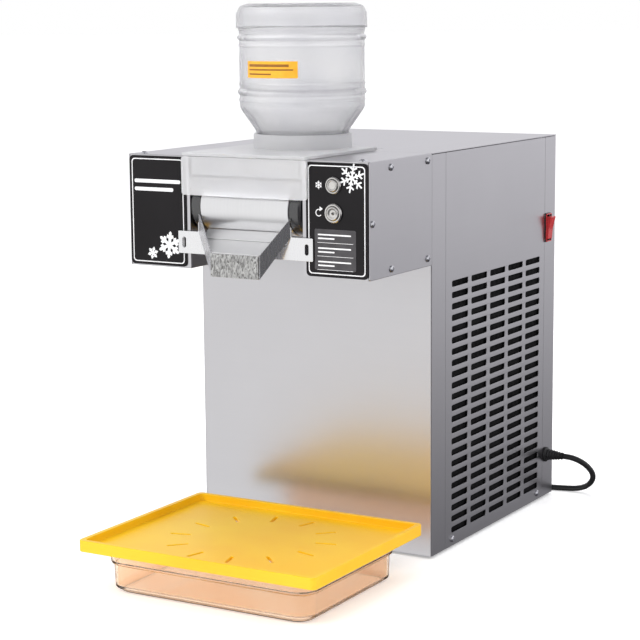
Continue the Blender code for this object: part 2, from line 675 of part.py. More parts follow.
def build_cooling():
    """Compressor, condenser, fan, drier, pipe and control box inside the cabinet."""
    profile = [
        (0, 5.4), (40, 5.4), (44, 8), (48, 20), (48, 85), (42, 105), (25, 118), (0, 121),
    ]
    make_object("compressor", turned(profile, "Z", -55, 190), "dark_metal", (-55, 190, 5), True)

    fins = 16
    pitch = 10.0
    comb = []
    for i in range(fins):
        y = 65 + pitch * i
        comb += [(104, y), (122, y), (122, y + 4), (104, y + 4)]
    comb += [(104, 65 + pitch * fins), (100, 65 + pitch * fins), (100, 65)]
    make_object("condenser", prism(comb, "Z", 8, 178), "fin_metal")

    fan_y, fan_z = 145.0, 92.0
    shroud = make_object("fan_shroud", block((95.5, 70, 12), (97.5, 220, 172)), "dark_metal")
    cut(shroud, prism(circle(66, fan_y, fan_z, 32), "X", 90, 105))
    body = [(0, 42), (24, 42), (26, 46), (26, 70), (10, 74), (3, 74), (3, 88), (0, 88)]
    make_object("fan_motor", turned(body, "X", fan_y, fan_z), "dark_metal", (60, fan_y, fan_z), True)
    hub = [(3.4, 76), (15, 76), (16, 78), (16, 92), (3.4, 92)]
    fan = turned(hub, "X", fan_y, fan_z)
    fan = make_object("cooling_fan", fan, "nylon", (84, fan_y, fan_z))
    blades = []
    count = 5
    for i in range(count):
        blade = block((-0.8, -15, 13), (0.8, 15, 61))
        turn = Matrix.Rotation(2 * math.pi * i / count, 4, "X")
        pitch_turn = Matrix.Rotation(math.radians(-28), 4, "Z")
        blade.transform(Matrix.Translation((84, fan_y, fan_z)) @ turn @ pitch_turn)
        blades.append(blade)
    add(fan, merged(blades))

    drier = [(0, 30), (4, 30), (10, 42), (10, 100), (4, 112), (0, 112)]
    make_object("filter_drier", turned(drier, "Z", 20, 60, 16), "copper", (20, 60, 30), True)
    route = [
        (-90, -84.0, 345), (-90, -60, 345), (-90, 0, 344), (-92, 50, 330), (-90, 90, 280),
        (-80, 130, 215), (-66, 165, 165), (-60, 185, 140), (-60, 190, 122),
    ]
    pipe("refrigerant_pipe", route, 3.0, "copper", 1)
    low = (-112, 252, 200)
    make_object("control_box", block(low, (-30, BODY_DEPTH - SHEET - GAP, 300)), "white_plastic")


def build_tray():
    """The free standing drip bin and its slotted lid, on which the bowl stands."""
    rings = []
    step_top = BIN_STEP_Z + 1.5
    # height, how far in from the mouth's outline, corner radius
    profile = ((0, 9, 14), (4, 4, 18), (BIN_STEP_Z, 3, 19), (step_top, 1, 20), (BIN_TOP, 0, 20))
    for z, inset, radius in profile:
        width, depth = BIN_WIDTH - 2 * inset, BIN_DEPTH - 2 * inset
        outline = rounded_rectangle(width, depth, radius, TRAY_X, TRAY_Y)
        rings.append([(x, y, z) for x, y in outline])
    for z, inset, radius in reversed(profile):
        inset += BIN_WALL
        width, depth = BIN_WIDTH - 2 * inset, BIN_DEPTH - 2 * inset
        height = BIN_TOP if z == BIN_TOP else z + BIN_FLOOR
        outline = rounded_rectangle(width, depth, radius - BIN_WALL, TRAY_X, TRAY_Y)
        rings.append([(x, y, height) for x, y in outline])
    make_object("drip_bin", loft(rings), "tinted_plastic", (TRAY_X, TRAY_Y, 0))

    outline = rounded_rectangle(TRAY_WIDTH, TRAY_DEPTH, 5.0, TRAY_X, TRAY_Y, 3)
    pivot = (TRAY_X, TRAY_Y, TRAY_BASE)
    lid = make_object("tray_lid", prism(outline, "Z", TRAY_BASE, TRAY_TOP), "yellow_plastic", pivot)
    width, depth = TRAY_WIDTH - 2 * TRAY_RIM, TRAY_DEPTH - 2 * TRAY_RIM
    recess = rounded_rectangle(width, depth, 3.0, TRAY_X, TRAY_Y, 3)
    cut(lid, prism(recess, "Z", TRAY_RECESS, TRAY_TOP + 5))
    slots = []
    for i in range(TRAY_SLOTS):
        low = (TRAY_SLOT_IN, -TRAY_SLOT_WIDTH / 2, TRAY_BASE - 3)
        slot = block(low, (TRAY_SLOT_OUT, TRAY_SLOT_WIDTH / 2, TRAY_RECESS + 3))
        turn = Matrix.Rotation(2 * math.pi * (i + 0.5) / TRAY_SLOTS, 4, "Z")
        slot.transform(Matrix.Translation((TRAY_X, TRAY_Y, 0)) @ turn)
        slots.append(slot)
    cut(lid, merged(slots))


clear_scene()
FINISHES = {
    "sheet": make_material("brushed_stainless", (0.62, 0.62, 0.63), 0.32, 1.0),
    "bright_sheet": make_material("bright_stainless", (0.74, 0.74, 0.75), 0.25, 1.0),
    "polished": make_material("polished_stainless", (0.80, 0.80, 0.81), 0.15, 1.0),
    "dark_metal": make_material("painted_black_metal", (0.03, 0.03, 0.03), 0.5),
    "fin_metal": make_material("aluminium_fins", (0.70, 0.71, 0.72), 0.4, 1.0),
    "brass": make_material("brass", (0.71, 0.50, 0.18), 0.3, 1.0),
    "copper": make_material("copper", (0.75, 0.36, 0.22), 0.3, 1.0),
    "gloss_black": make_material("gloss_black_panel", (0.012, 0.011, 0.012), 0.15),
    "white_plastic": make_material("white_polypropylene", (0.80, 0.80, 0.79), 0.45),
    "nylon": make_material("natural_nylon", (0.66, 0.65, 0.60), 0.5),
    "clear_plastic": make_material("clear_polycarbonate", (0.88, 0.88, 0.91), 0.12, 0.0, 0.8),
    "tinted_plastic": make_material("amber_clear_plastic", (0.92, 0.62, 0.45), 0.12, 0.0, 0.8),
    "yellow_plastic": make_material("yellow_abs", (0.93, 0.57, 0.02), 0.35),
    "red_plastic": make_material("red_translucent_plastic", (0.62, 0.02, 0.02), 0.25),
    "rubber": make_material("black_pvc", (0.012, 0.012, 0.012), 0.45),
    "guide": make_material("guide", (0.5, 0.5, 0.5), 0.5),
}
MACHINE = bpy.data.objects.new("machine_frame", None)
bpy.context.scene.collection.objects.link(MACHINE)
MACHINE.location = (-ORIGIN_X * METRES, -ORIGIN_Y * METRES, 0)

build_cabinet()
build_head()
build_drum_line()
build_tank()
build_bottle()
build_chute()
build_controls()
build_lead()
build_cooling()
build_tray()
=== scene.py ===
"""Looks of a counter-top snow ice machine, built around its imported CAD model.

An inverted bottle feeds a clear tank over a chilled steel drum, a blade under the drum sends the
flakes down a pull-off chute, and a slotted tray with a drip bin stands in front. Shapes are drawn
in millimetres in the machine's own layout (X right, Y back from the cabinet's front, Z up) and
placed by where the CAD model's top cover lies.
"""

import logging
import math
from dataclasses import dataclass, field
from enum import Enum

import bmesh
import bpy
from mathutils import Matrix, Vector, noise

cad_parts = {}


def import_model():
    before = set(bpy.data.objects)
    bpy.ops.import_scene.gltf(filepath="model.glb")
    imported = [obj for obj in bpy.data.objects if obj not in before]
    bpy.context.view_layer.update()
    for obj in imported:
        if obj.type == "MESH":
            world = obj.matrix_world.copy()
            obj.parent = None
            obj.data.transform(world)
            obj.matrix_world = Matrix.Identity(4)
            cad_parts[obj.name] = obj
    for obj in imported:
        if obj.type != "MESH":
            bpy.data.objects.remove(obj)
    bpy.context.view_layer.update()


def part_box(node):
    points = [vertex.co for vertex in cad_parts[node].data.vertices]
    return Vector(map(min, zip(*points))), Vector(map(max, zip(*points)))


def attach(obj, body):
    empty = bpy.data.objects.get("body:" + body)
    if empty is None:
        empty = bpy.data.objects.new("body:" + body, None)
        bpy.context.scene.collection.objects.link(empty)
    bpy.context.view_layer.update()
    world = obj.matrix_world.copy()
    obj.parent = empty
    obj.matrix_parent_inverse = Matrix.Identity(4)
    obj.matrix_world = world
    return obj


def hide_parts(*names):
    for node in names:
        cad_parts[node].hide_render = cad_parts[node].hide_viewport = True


LOG = logging.getLogger("snow_ice_machine")
METRES = 0.001
Point = tuple[float, float, float]
Outline = list[tuple[float, float]]
Shape = bmesh.types.BMesh


class Axis(Enum):
    """The layout axis that a drawing is pushed or turned along."""

    X = "X"
    Y = "Y"
    Z = "Z"

    def point(self, u: float, v: float, w: float) -> Point:
        """The layout point at w along this axis, with u and v on the other two in order."""
        return {"X": (w, u, v), "Y": (u, w, v), "Z": (u, v, w)}[self.value]


class Side(Enum):
    """The two hands of the machine, seen from its front."""

    LEFT = -1
    RIGHT = 1

    @property
    def word(self) -> str:
        """The side's name as the CAD nodes spell it."""
        return self.name.lower()


# --- Finishes -------------------------------------------------------------------------------


def linear(hex_colour: str) -> tuple[float, float, float, float]:
    """Turns an sRGB hex colour such as '#C9C8CB' into linear RGBA."""
    values = [int(hex_colour[i:i + 2], 16) / 255 for i in (1, 3, 5)]
    channels = [v / 12.92 if v <= 0.04045 else ((v + 0.055) / 1.055) ** 2.4 for v in values]
    return (*channels, 1.0)


def per_metre(size_mm: float) -> float:
    """The texture scale, in repeats per metre, of a feature of this size."""
    return 1000.0 / size_mm


def add_node(
    tree: bpy.types.NodeTree, kind: str, settings: dict | None = None, links: dict | None = None
) -> bpy.types.Node:
    """Adds one shader node.

    Args:
        tree: The material's or world's node tree.
        kind: The node's type, such as 'ShaderNodeTexNoise'.
        settings: Values by input name or number, or by the node's own property name.
        links: Output sockets by the name or number of the input that they feed.

    Returns:
        The new node.
    """
    node = tree.nodes.new(kind)
    for key, value in (settings or {}).items():
        if isinstance(key, int) or key in node.inputs:
            node.inputs[key].default_value = value
        else:
            setattr(node, key, value)
    for key, socket in (links or {}).items():
        tree.links.new(socket, node.inputs[key])
    return node


@dataclass(frozen=True)
class Finish:
    """Two close colours in soft patches, and a grain that sets gloss and relief.

    The grain's size, and so its look, is what the subclasses add.
    """

    name: str
    colour: str
    second: str
    roughness: float
    gloss_spread: float = 0.05
    metallic: float = 0.0
    ior: float = 1.5
    specular: float = 0.5
    clear: float = 0.0
    coat: float = 0.0
    grit_mm: float = 0.8
    relief_mm: float = 0.02
    patch_mm: float = 70.0

    def material(self) -> bpy.types.Material:
        """The finish as a material, made once."""
        return bpy.data.materials.get(self.name) or self.build()

    def build(self) -> bpy.types.Material:
        """Makes the material's nodes."""
        material = bpy.data.materials.new(self.name)
        material.use_nodes = True
        tree = material.node_tree
        shader = tree.nodes["Principled BSDF"]
        constants = {
            "Metallic": self.metallic, "Transmission Weight": self.clear, "Coat Weight": self.coat,
            "Coat Roughness": 0.08, "Specular IOR Level": self.specular,
        }
        if self.metallic < 1.0:
            constants["IOR"] = self.ior
        for socket, value in constants.items():
            shader.inputs[socket].default_value = value
        place = add_node(tree, "ShaderNodeTexCoord").outputs["Object"]
        patches = add_node(
            tree, "ShaderNodeTexNoise", {"Scale": per_metre(self.patch_mm), "Detail": 3.0},
            {"Vector": place},
        )
        grain = self.grain(tree, place)
        blend = self.colour_share(tree, patches.outputs[0], grain)
        colour = add_node(
            tree, "ShaderNodeMix", {"data_type": "RGBA", 6: linear(self.colour), 7: linear(self.second)},
            {0: blend},
        )
        gloss = add_node(
            tree, "ShaderNodeMapRange",
            {"To Min": max(0.02, self.roughness - self.gloss_spread),
             "To Max": self.roughness + self.gloss_spread},
            {"Value": grain},
        )
        tree.links.new(colour.outputs[2], shader.inputs["Base Color"])
        tree.links.new(gloss.outputs[0], shader.inputs["Roughness"])
        if self.relief_mm:
            relief = add_node(
                tree, "ShaderNodeBump", {"Strength": 0.5, "Distance": self.relief_mm * METRES},
                {"Height": grain},
            )
            tree.links.new(relief.outputs[0], shader.inputs["Normal"])
        return material

    def grain(
        self, tree: bpy.types.NodeTree, place: bpy.types.NodeSocket
    ) -> bpy.types.NodeSocket:
        """The fine pattern of the surface, from 0 to 1: here an even moulded or cast grit."""
        return add_node(
            tree, "ShaderNodeTexNoise", {"Scale": per_metre(self.grit_mm), "Detail": 2.0},
            {"Vector": place},
        ).outputs[0]

    def colour_share(
        self, tree: bpy.types.NodeTree, patches: bpy.types.NodeSocket, grain: bpy.types.NodeSocket
    ) -> bpy.types.NodeSocket:
        """How much of the second colour shows: soft patches, contrasted a little."""
        return add_node(
            tree, "ShaderNodeMapRange", {"From Min": 0.35, "From Max": 0.65}, {"Value": patches}
        ).outputs[0]


@dataclass(frozen=True)
class Brushed(Finish):
    """Metal rubbed in one direction: long thin lines that stretch the highlights across them."""

    line_mm: float = 160.0
    fine: Axis = Axis.Z
    streak: float = 0.35

    def grain(
        self, tree: bpy.types.NodeTree, place: bpy.types.NodeSocket
    ) -> bpy.types.NodeSocket:
        """Lines that are fine across one axis and long along the other two."""
        scales = {axis: per_metre(self.line_mm) for axis in Axis}
        scales[self.fine] = per_metre(self.grit_mm)
        stretched = add_node(
            tree, "ShaderNodeMapping", {"Scale": tuple(scales[axis] for axis in Axis)},
            {"Vector": place},
        )
        return add_node(
            tree, "ShaderNodeTexNoise", {"Scale": 1.0, "Detail": 4.0, "Roughness": 0.6},
            {"Vector": stretched.outputs[0]},
        ).outputs[0]

    def colour_share(
        self, tree: bpy.types.NodeTree, patches: bpy.types.NodeSocket, grain: bpy.types.NodeSocket
    ) -> bpy.types.NodeSocket:
        """The lines tint the metal as well as the soft patches."""
        return add_node(
            tree, "ShaderNodeMix", {"data_type": "FLOAT", 0: self.streak}, {2: patches, 3: grain}
        ).outputs[0]


@dataclass(frozen=True)
class Perforated(Finish):
    """A woven or punched mesh, with its holes drawn as dark dots between the threads."""

    def grain(
        self, tree: bpy.types.NodeTree, place: bpy.types.NodeSocket
    ) -> bpy.types.NodeSocket:
        """Crossing threads, one wave each way."""
        waves = [
            add_node(
                tree, "ShaderNodeTexWave",
                {"Scale": per_metre(self.grit_mm) / (2 * math.pi) * 0.31, "bands_direction": way},
                {"Vector": place},
            ).outputs["Fac"]
            for way in ("Y", "Z")
        ]
        return add_node(
            tree, "ShaderNodeMath", {"operation": "MULTIPLY"}, {0: waves[0], 1: waves[1]}
        ).outputs[0]


@dataclass(frozen=True)
class Sparkling(Finish):
    """A surface stamped or crusted with hard grains, each light or dark."""

    stretch: float = 1.0

    def grain(
        self, tree: bpy.types.NodeTree, place: bpy.types.NodeSocket
    ) -> bpy.types.NodeSocket:
        """Cells with a random height each, drawn out upright by the stretch."""
        drawn = add_node(
            tree, "ShaderNodeMapping", {"Scale": (1.0, 1.0, 1 / self.stretch)}, {"Vector": place}
        )
        cells = add_node(
            tree, "ShaderNodeTexVoronoi", {"Scale": per_metre(self.grit_mm)},
            {"Vector": drawn.outputs[0]},
        )
        return add_node(
            tree, "ShaderNodeSeparateColor", {}, {0: cells.outputs["Color"]}
        ).outputs[0]

    def colour_share(
        self, tree: bpy.types.NodeTree, patches: bpy.types.NodeSocket, grain: bpy.types.NodeSocket
    ) -> bpy.types.NodeSocket:
        """Each grain takes its own share of the second colour."""
        return grain


# Cold rolled stainless sheet, satin brushed level: soft grey with fine lines running round the body.
SATIN_STEEL = Brushed(
    "satin_stainless_steel", "#D2D1D4", "#CBCACD", 0.29, 0.03, metallic=1.0, grit_mm=1.3,
    relief_mm=0.002, streak=0.25,
)
# The same sheet on its flat top, where the lines run front to back.
TOP_STEEL = Brushed(
    "satin_stainless_steel_top", "#D2D1D4", "#CBCACD", 0.29, 0.03, metallic=1.0, grit_mm=1.3,
    relief_mm=0.002, fine=Axis.X, streak=0.25,
)
# Bright annealed stainless: nearly white, with only wiping marks.
BRIGHT_STEEL = Brushed(
    "bright_annealed_stainless", "#F4F4F5", "#EAEAEC", 0.27, 0.04, metallic=1.0, grit_mm=1.2,
    relief_mm=0.0012, fine=Axis.X,
)
# The chute's floor and blade, the same sheet rubbed dull by ice: whiter, and blurs what it mirrors.
WORN_STEEL = Brushed(
    "ice_worn_stainless", "#FAFAFA", "#EFEFF0", 0.42, 0.05, metallic=0.78, grit_mm=1.2, relief_mm=0.004,
    fine=Axis.X,
)
# Ground and polished drum: rings round it from the grinding wheel, drawn coarser than they are so
# that they show.
GROUND_STEEL = Brushed(
    "ground_stainless_steel", "#F0F0F1", "#DEDEE0", 0.3, 0.05, metallic=1.0, grit_mm=1.4,
    relief_mm=0.003, fine=Axis.X, streak=0.5,
)
# Nickel plated brass of push buttons: bright, a little warm, softly satin.
NICKEL = Finish(
    "satin_nickel_plate", "#E2E0DD", "#D2D0CD", 0.22, 0.04, metallic=1.0, grit_mm=0.6, relief_mm=0.004,
)
# Zinc plated steel screws: bluish bright with a fine dull crystal.
ZINC = Finish(
    "zinc_plated_steel", "#F0F1F4", "#D2D3D8", 0.22, 0.08, metallic=1.0, grit_mm=0.7, relief_mm=0.01,
    patch_mm=4.0,
)
# Embossed stainless lip: stamped grains, each in its own tone from dark grey to pale, which paints their
# shade and glints.
GLINT_SHADED_EMBOSSED_STEEL = Sparkling(
    "embossed_stainless", "#6F6E6D", "#CDCDCC", 0.38, 0.1, metallic=0.75, grit_mm=1.0, relief_mm=0.1,
    stretch=2.6,
)
# Galvanised steel of the base: dull zinc with pale spangles.
GALVANISED = Sparkling(
    "galvanised_steel", "#8F9295", "#B4B7BA", 0.42, 0.08, metallic=1.0, grit_mm=9.0, relief_mm=0.002,
)
# Black lacquered acrylic of the control panels: deep black with a calm, hard gloss.
BLACK_ACRYLIC = Finish(
    "black_back_painted_acrylic", "#141214", "#1A181A", 0.14, 0.03, ior=1.49, specular=0.2,
    grit_mm=3.0, relief_mm=0.004,
)
# Screen printed white ink: flat, a little chalky.
WHITE_INK = Finish(
    "white_screen_ink", "#F2F2F3", "#E4E4E6", 0.55, 0.06, grit_mm=0.5, relief_mm=0.006, patch_mm=12.0,
)
# Screen printed grey ink, thinner, so its ground shows through in patches.
GREY_INK = Finish(
    "grey_screen_ink", "#474548", "#3D3B3E", 0.5, 0.06, grit_mm=0.5, relief_mm=0.006, patch_mm=9.0,
)
# Amber vinyl label: saturated, soft sheen, slight print mottle.
AMBER_VINYL = Finish(
    "amber_vinyl_label", "#F6B42A", "#F0A81F", 0.4, 0.05, coat=0.2, grit_mm=0.6, relief_mm=0.004,
    patch_mm=8.0,
)
# Brown print on the label.
BROWN_INK = Finish(
    "brown_label_ink", "#8A5A14", "#9A6820", 0.5, 0.05, grit_mm=0.5, relief_mm=0.004, patch_mm=8.0,
)
# Blow moulded polycarbonate bottle: near white, wavy walls that blur what is behind them.
BOTTLE_PLASTIC = Finish(
    "blow_moulded_polycarbonate", "#F8F8F8", "#F1F1F3", 0.22, 0.07, ior=1.4, clear=0.86,
    grit_mm=18.0, relief_mm=0.16, patch_mm=45.0,
)
# Injection moulded polycarbonate tank: frosty white from years of washing, an even haze with no
# relief, because the walls are seen through.
TANK_PLASTIC = Finish(
    "washed_polycarbonate", "#FBFBFC", "#F4F4F6", 0.3, 0.0, ior=1.4, clear=0.62,
    grit_mm=26.0, relief_mm=0.0, patch_mm=50.0,
)
# Tinted clear styrene drip bin: peach amber, glossy, thicker colour at its edges.
BIN_PLASTIC = Finish(
    "peach_tinted_styrene", "#FFEBD8", "#FFE4CB", 0.08, 0.03, ior=1.4, clear=0.97, grit_mm=18.0,
    relief_mm=0.06, patch_mm=60.0,
)
# Injection moulded ABS tray: warm yellow with a spark-eroded grain.
YELLOW_ABS = Finish(
    "yellow_abs_plastic", "#FACB1E", "#F6BE14", 0.36, 0.06, grit_mm=1.0, relief_mm=0.02, patch_mm=90.0,
)
# Lit rocker cap: red polycarbonate that glows where light enters.
RED_POLYCARBONATE = Finish(
    "red_clear_polycarbonate", "#CC3234", "#B8282B", 0.14, 0.04, ior=1.58, clear=0.12, coat=0.4,
    grit_mm=2.5, relief_mm=0.01,
)
# Black nylon frames and caps: fine grain, low sheen.
BLACK_NYLON = Finish(
    "black_nylon", "#1B1B1C", "#232324", 0.42, 0.08, grit_mm=0.9, relief_mm=0.02,
)
# Gloss moulded ABS of the drum's end caps: nearly black with one broad grey highlight.
BLACK_ABS = Finish(
    "gloss_black_abs", "#232325", "#2B2B2D", 0.24, 0.05, specular=0.8, coat=0.6, grit_mm=1.4,
    relief_mm=0.004,
)
# PVC sheath of the lead: soft black with faint drag marks.
BLACK_PVC = Finish(
    "black_pvc_sheath", "#161617", "#1E1E1F", 0.46, 0.08, grit_mm=1.6, relief_mm=0.03, patch_mm=25.0,
)
# Moulded rubber feet and seals: matt, slightly dusty.
RUBBER = Finish(
    "moulded_rubber", "#1A1A1A", "#262625", 0.62, 0.06, grit_mm=1.1, relief_mm=0.03, patch_mm=14.0,
)
# Woven black nylon sheet behind the slots, a painted shade: it stands in for the dark inside of the
# cabinet and lets almost no light back.
SHADE_SHEET_MESH = Perforated(
    "painted_shade_mesh", "#050506", "#101011", 0.75, 0.1, specular=0.1, grit_mm=1.5, relief_mm=0.2,
    patch_mm=30.0,
)
# Powder coated steel of motor, compressor and shroud: black with orange peel.
POWDER_COAT = Finish(
    "black_powder_coat", "#17181A", "#202124", 0.45, 0.08, grit_mm=1.8, relief_mm=0.05,
)
# Mill aluminium fins: pale, dull, drawn lengthways.
FIN_ALUMINIUM = Brushed(
    "mill_aluminium", "#B9BBBE", "#A6A8AB", 0.38, 0.06, metallic=1.0, grit_mm=1.2, relief_mm=0.01,
)
# Turned brass of the rotary joint and plug blades: yellow with tool rings.
BRASS = Brushed(
    "turned_brass", "#D9B45F", "#C49F4C", 0.25, 0.06, metallic=1.0, grit_mm=0.8, relief_mm=0.006,
    fine=Axis.X,
)
# Drawn copper pipe and drier: warm, slightly browned.
COPPER = Finish(
    "drawn_copper", "#C8805C", "#A8654A", 0.3, 0.07, metallic=1.0, grit_mm=2.5, relief_mm=0.01,
    patch_mm=18.0,
)
# Natural polyamide gears and fan: waxy off-white.
NATURAL_NYLON = Finish(
    "natural_polyamide", "#D9D5C6", "#CEC9B8", 0.45, 0.06, grit_mm=1.4, relief_mm=0.02,
)
# White polypropylene caps and control box: soft white.
WHITE_PP = Finish(
    "white_polypropylene", "#E6E6E4", "#DCDCD9", 0.42, 0.06, grit_mm=1.2, relief_mm=0.02,
)
# Painted studio floor: even, pale, matt.
FLOOR_PAINT = Finish(
    "pale_matt_floor", "#F4F4F4", "#F2F2F2", 0.9, 0.03, specular=0.1, grit_mm=30.0, relief_mm=0.05,
    patch_mm=900.0,
)


# --- Drawing --------------------------------------------------------------------------------


def circle(radius: float, u: float = 0.0, v: float = 0.0, steps: int = 48) -> Outline:
    """A circle's points around (u, v)."""
    angles = [2 * math.pi * i / steps for i in range(steps)]
    return [(u + radius * math.cos(a), v + radius * math.sin(a)) for a in angles]


def rectangle(width: float, height: float, radius: float, u: float = 0.0, v: float = 0.0,
              steps: int = 6) -> Outline:
    """A rectangle's outline around (u, v) with round corners."""
    points = []
    for side_u, side_v, start in ((1, 1, 0), (-1, 1, 90), (-1, -1, 180), (1, -1, 270)):
        centre = (u + side_u * (width / 2 - radius), v + side_v * (height / 2 - radius))
        for i in range(steps + 1):
            angle = math.radians(start + 90 * i / steps)
            points.append((centre[0] + radius * math.cos(angle), centre[1] + radius * math.sin(angle)))
    return points


def mirrored(outline: Outline) -> Outline:
    """An outline of (x, v) points on the other side of X = 0, still turning the same way."""
    return [(-x, v) for x, v in reversed(outline)]


def eased(outline: Outline, radius: float, steps: int = 3) -> Outline:
    """A closed outline with its corners rounded off.

    Args:
        outline: The corners. A point on the axis of a turned profile, where u is 0, stays sharp.
        radius: How far from each corner the rounding starts, less where an edge is short.
        steps: Edges in each rounding.

    Returns:
        The outline with each corner as a short curve.
    """
    points = []
    for i, corner in enumerate(outline):
        here = Vector(corner)
        before = Vector(outline[i - 1]) - here
        after = Vector(outline[(i + 1) % len(outline)]) - here
        if here.x == 0 or before.length == 0 or after.length == 0 or before.angle(after) > 3.0:
            points.append(tuple(here))
            continue
        reach = min(radius, 0.45 * before.length, 0.45 * after.length)
        start = here + before.normalized() * reach
        end = here + after.normalized() * reach
        for k in range(steps + 1):
            t = k / steps
            points.append(tuple(start * (1 - t) ** 2 + here * 2 * t * (1 - t) + end * t * t))
    return points


def loft(rings: list[list[Point]], capped: bool = True, looped: bool = False) -> Shape:
    """Skins rings of points.

    Args:
        rings: Rings with the same number of points.
        capped: Whether the first and last rings are filled.
        looped: Whether the last ring is skinned to the first.

    Returns:
        The skin as a bmesh.
    """
    shape = bmesh.new()
    rows = [[shape.verts.new(point) for point in ring] for ring in rings]
    pairs = list(zip(rows, rows[1:]))
    if looped:
        pairs.append((rows[-1], rows[0]))
    count = len(rows[0])
    for row, following in pairs:
        for i in range(count):
            j = (i + 1) % count
            shape.faces.new((row[i], row[j], following[j], following[i]))
    if capped and not looped:
        shape.faces.new(rows[0])
        shape.faces.new(rows[-1])
    return shape


def prism(outline: Outline, axis: Axis, low: float, high: float) -> Shape:
    """An outline pushed along an axis from low to high."""
    return loft([[axis.point(u, v, w) for u, v in outline] for w in (low, high)])


def block(low: Point, high: Point) -> Shape:
    """A rectangular block between two corners."""
    outline = [(low[0], low[1]), (high[0], low[1]), (high[0], high[1]), (low[0], high[1])]
    return prism(outline, Axis.Z, low[2], high[2])


def turned(profile: Outline, axis: Axis, u: float, v: float, steps: int = 64) -> Shape:
    """A closed (radius, height) profile turned about an axis at (u, v)."""
    shape = bmesh.new()
    rows = []
    for radius, height in profile:
        if radius <= 0:
            rows.append([shape.verts.new(axis.point(u, v, height))] * steps)
        else:
            ring = circle(radius, u, v, steps)
            rows.append([shape.verts.new(axis.point(a, b, height)) for a, b in ring])
    for row, following in zip(rows, rows[1:] + rows[:1]):
        for i in range(steps):
            j = (i + 1) % steps
            corners = list(dict.fromkeys((row[i], row[j], following[j], following[i])))
            if len(corners) > 2:
                shape.faces.new(corners)
    return shape


def plate(outline: Outline, holes: list[Outline], axis: Axis, low: float, high: float,
          edge: float = 0.2) -> Shape:
    """A flat plate with holes and softened edges.

    Args:
        outline: The plate's own outline.
        holes: The outlines cut through it, clear of each other.
        axis: The axis that the plate faces.
        low: Its lower face along that axis.
        high: Its upper face.
        edge: How far its edges are rounded.

    Returns:
        The closed plate.
    """
    curve = bpy.data.curves.new("plate", "CURVE")
    curve.dimensions = "2D"
    curve.fill_mode = "BOTH"
    curve.extrude = (high - low) / 2 - edge
    curve.bevel_depth = edge
    curve.bevel_resolution = 1
    curve.offset = -edge
    for ring in (outline, *holes):
        spline = curve.splines.new("POLY")
        spline.points.add(len(ring) - 1)
        spline.use_cyclic_u = True
        for target, (u, v) in zip(spline.points, ring):
            target.co = (u, v, 0.0, 1.0)
    holder = bpy.data.objects.new("plate", curve)
    mesh = bpy.data.meshes.new_from_object(holder)
    shape = bmesh.new()
    shape.from_mesh(mesh)
    bpy.data.objects.remove(holder)
    bpy.data.curves.remove(curve)
    bpy.data.meshes.remove(mesh)
    bmesh.ops.remove_doubles(shape, verts=shape.verts, dist=0.0005)
    middle = (low + high) / 2
    for vert in shape.verts:
        vert.co = axis.point(vert.co.x, vert.co.y, middle + vert.co.z)
    return shape


def merged(shapes: list[Shape]) -> Shape:
    """Several shapes in one bmesh, each still a body of its own."""
    total = bmesh.new()
    for shape in shapes:
        mesh = bpy.data.meshes.new("merged")
        shape.to_mesh(mesh)
        shape.free()
        total.from_mesh(mesh)
        bpy.data.meshes.remove(mesh)
    return total


def carved(shape: Shape, tool: Shape, operation: str = "DIFFERENCE") -> Shape:
    """One shape cut from another, or joined to it.

    Args:
        shape: The body, which is used up.
        tool: The cutter, or what is joined on, which is used up.
        operation: 'DIFFERENCE', or 'UNION' to join.

    Returns:
        The result of the exact Boolean.
    """
    holders = []
    for part in (shape, tool):
        mesh = bpy.data.meshes.new("carving")
        bmesh.ops.recalc_face_normals(part, faces=part.faces)
        part.to_mesh(mesh)
        part.free()
        holder = bpy.data.objects.new("carving", mesh)
        bpy.context.scene.collection.objects.link(holder)
        holders.append(holder)
    boolean = holders[0].modifiers.new("Carve", "BOOLEAN")
    boolean.operation = operation
    boolean.solver = "EXACT"
    boolean.object = holders[1]
    evaluated = holders[0].evaluated_get(bpy.context.evaluated_depsgraph_get())
    result = bmesh.new()
    result.from_mesh(evaluated.data)
    for holder in holders:
        mesh = holder.data
        bpy.data.objects.remove(holder)
        bpy.data.meshes.remove(mesh)
    return result


def joined(shape: Shape, tool: Shape) -> Shape:
    """Two shapes as one body."""
    return carved(shape, tool, "UNION")


def smooth_path(route: list[Point], spacing: float) -> list[Vector]:
    """Points about a spacing apart on a smooth curve through the route."""
    stops = [Vector(point) for point in route]
    ends = [2 * stops[0] - stops[1], *stops, 2 * stops[-1] - stops[-2]]
    points = [stops[0]]
    for before, start, end, after in zip(ends, ends[1:], ends[2:], ends[3:]):
        steps = max(1, round((end - start).length / spacing))
        for i in range(1, steps + 1):
            t = i / steps
            square = 2 * before - 5 * start + 4 * end - after
            cube = 3 * start - before - 3 * end + after
            points.append((2 * start + (end - before) * t + square * t ** 2 + cube * t ** 3) / 2)
    return points


def smoothstep(t: float) -> float:
    """An even start and stop between 0 and 1."""
    t = min(1.0, max(0.0, t))
    return t * t * (3 - 2 * t)


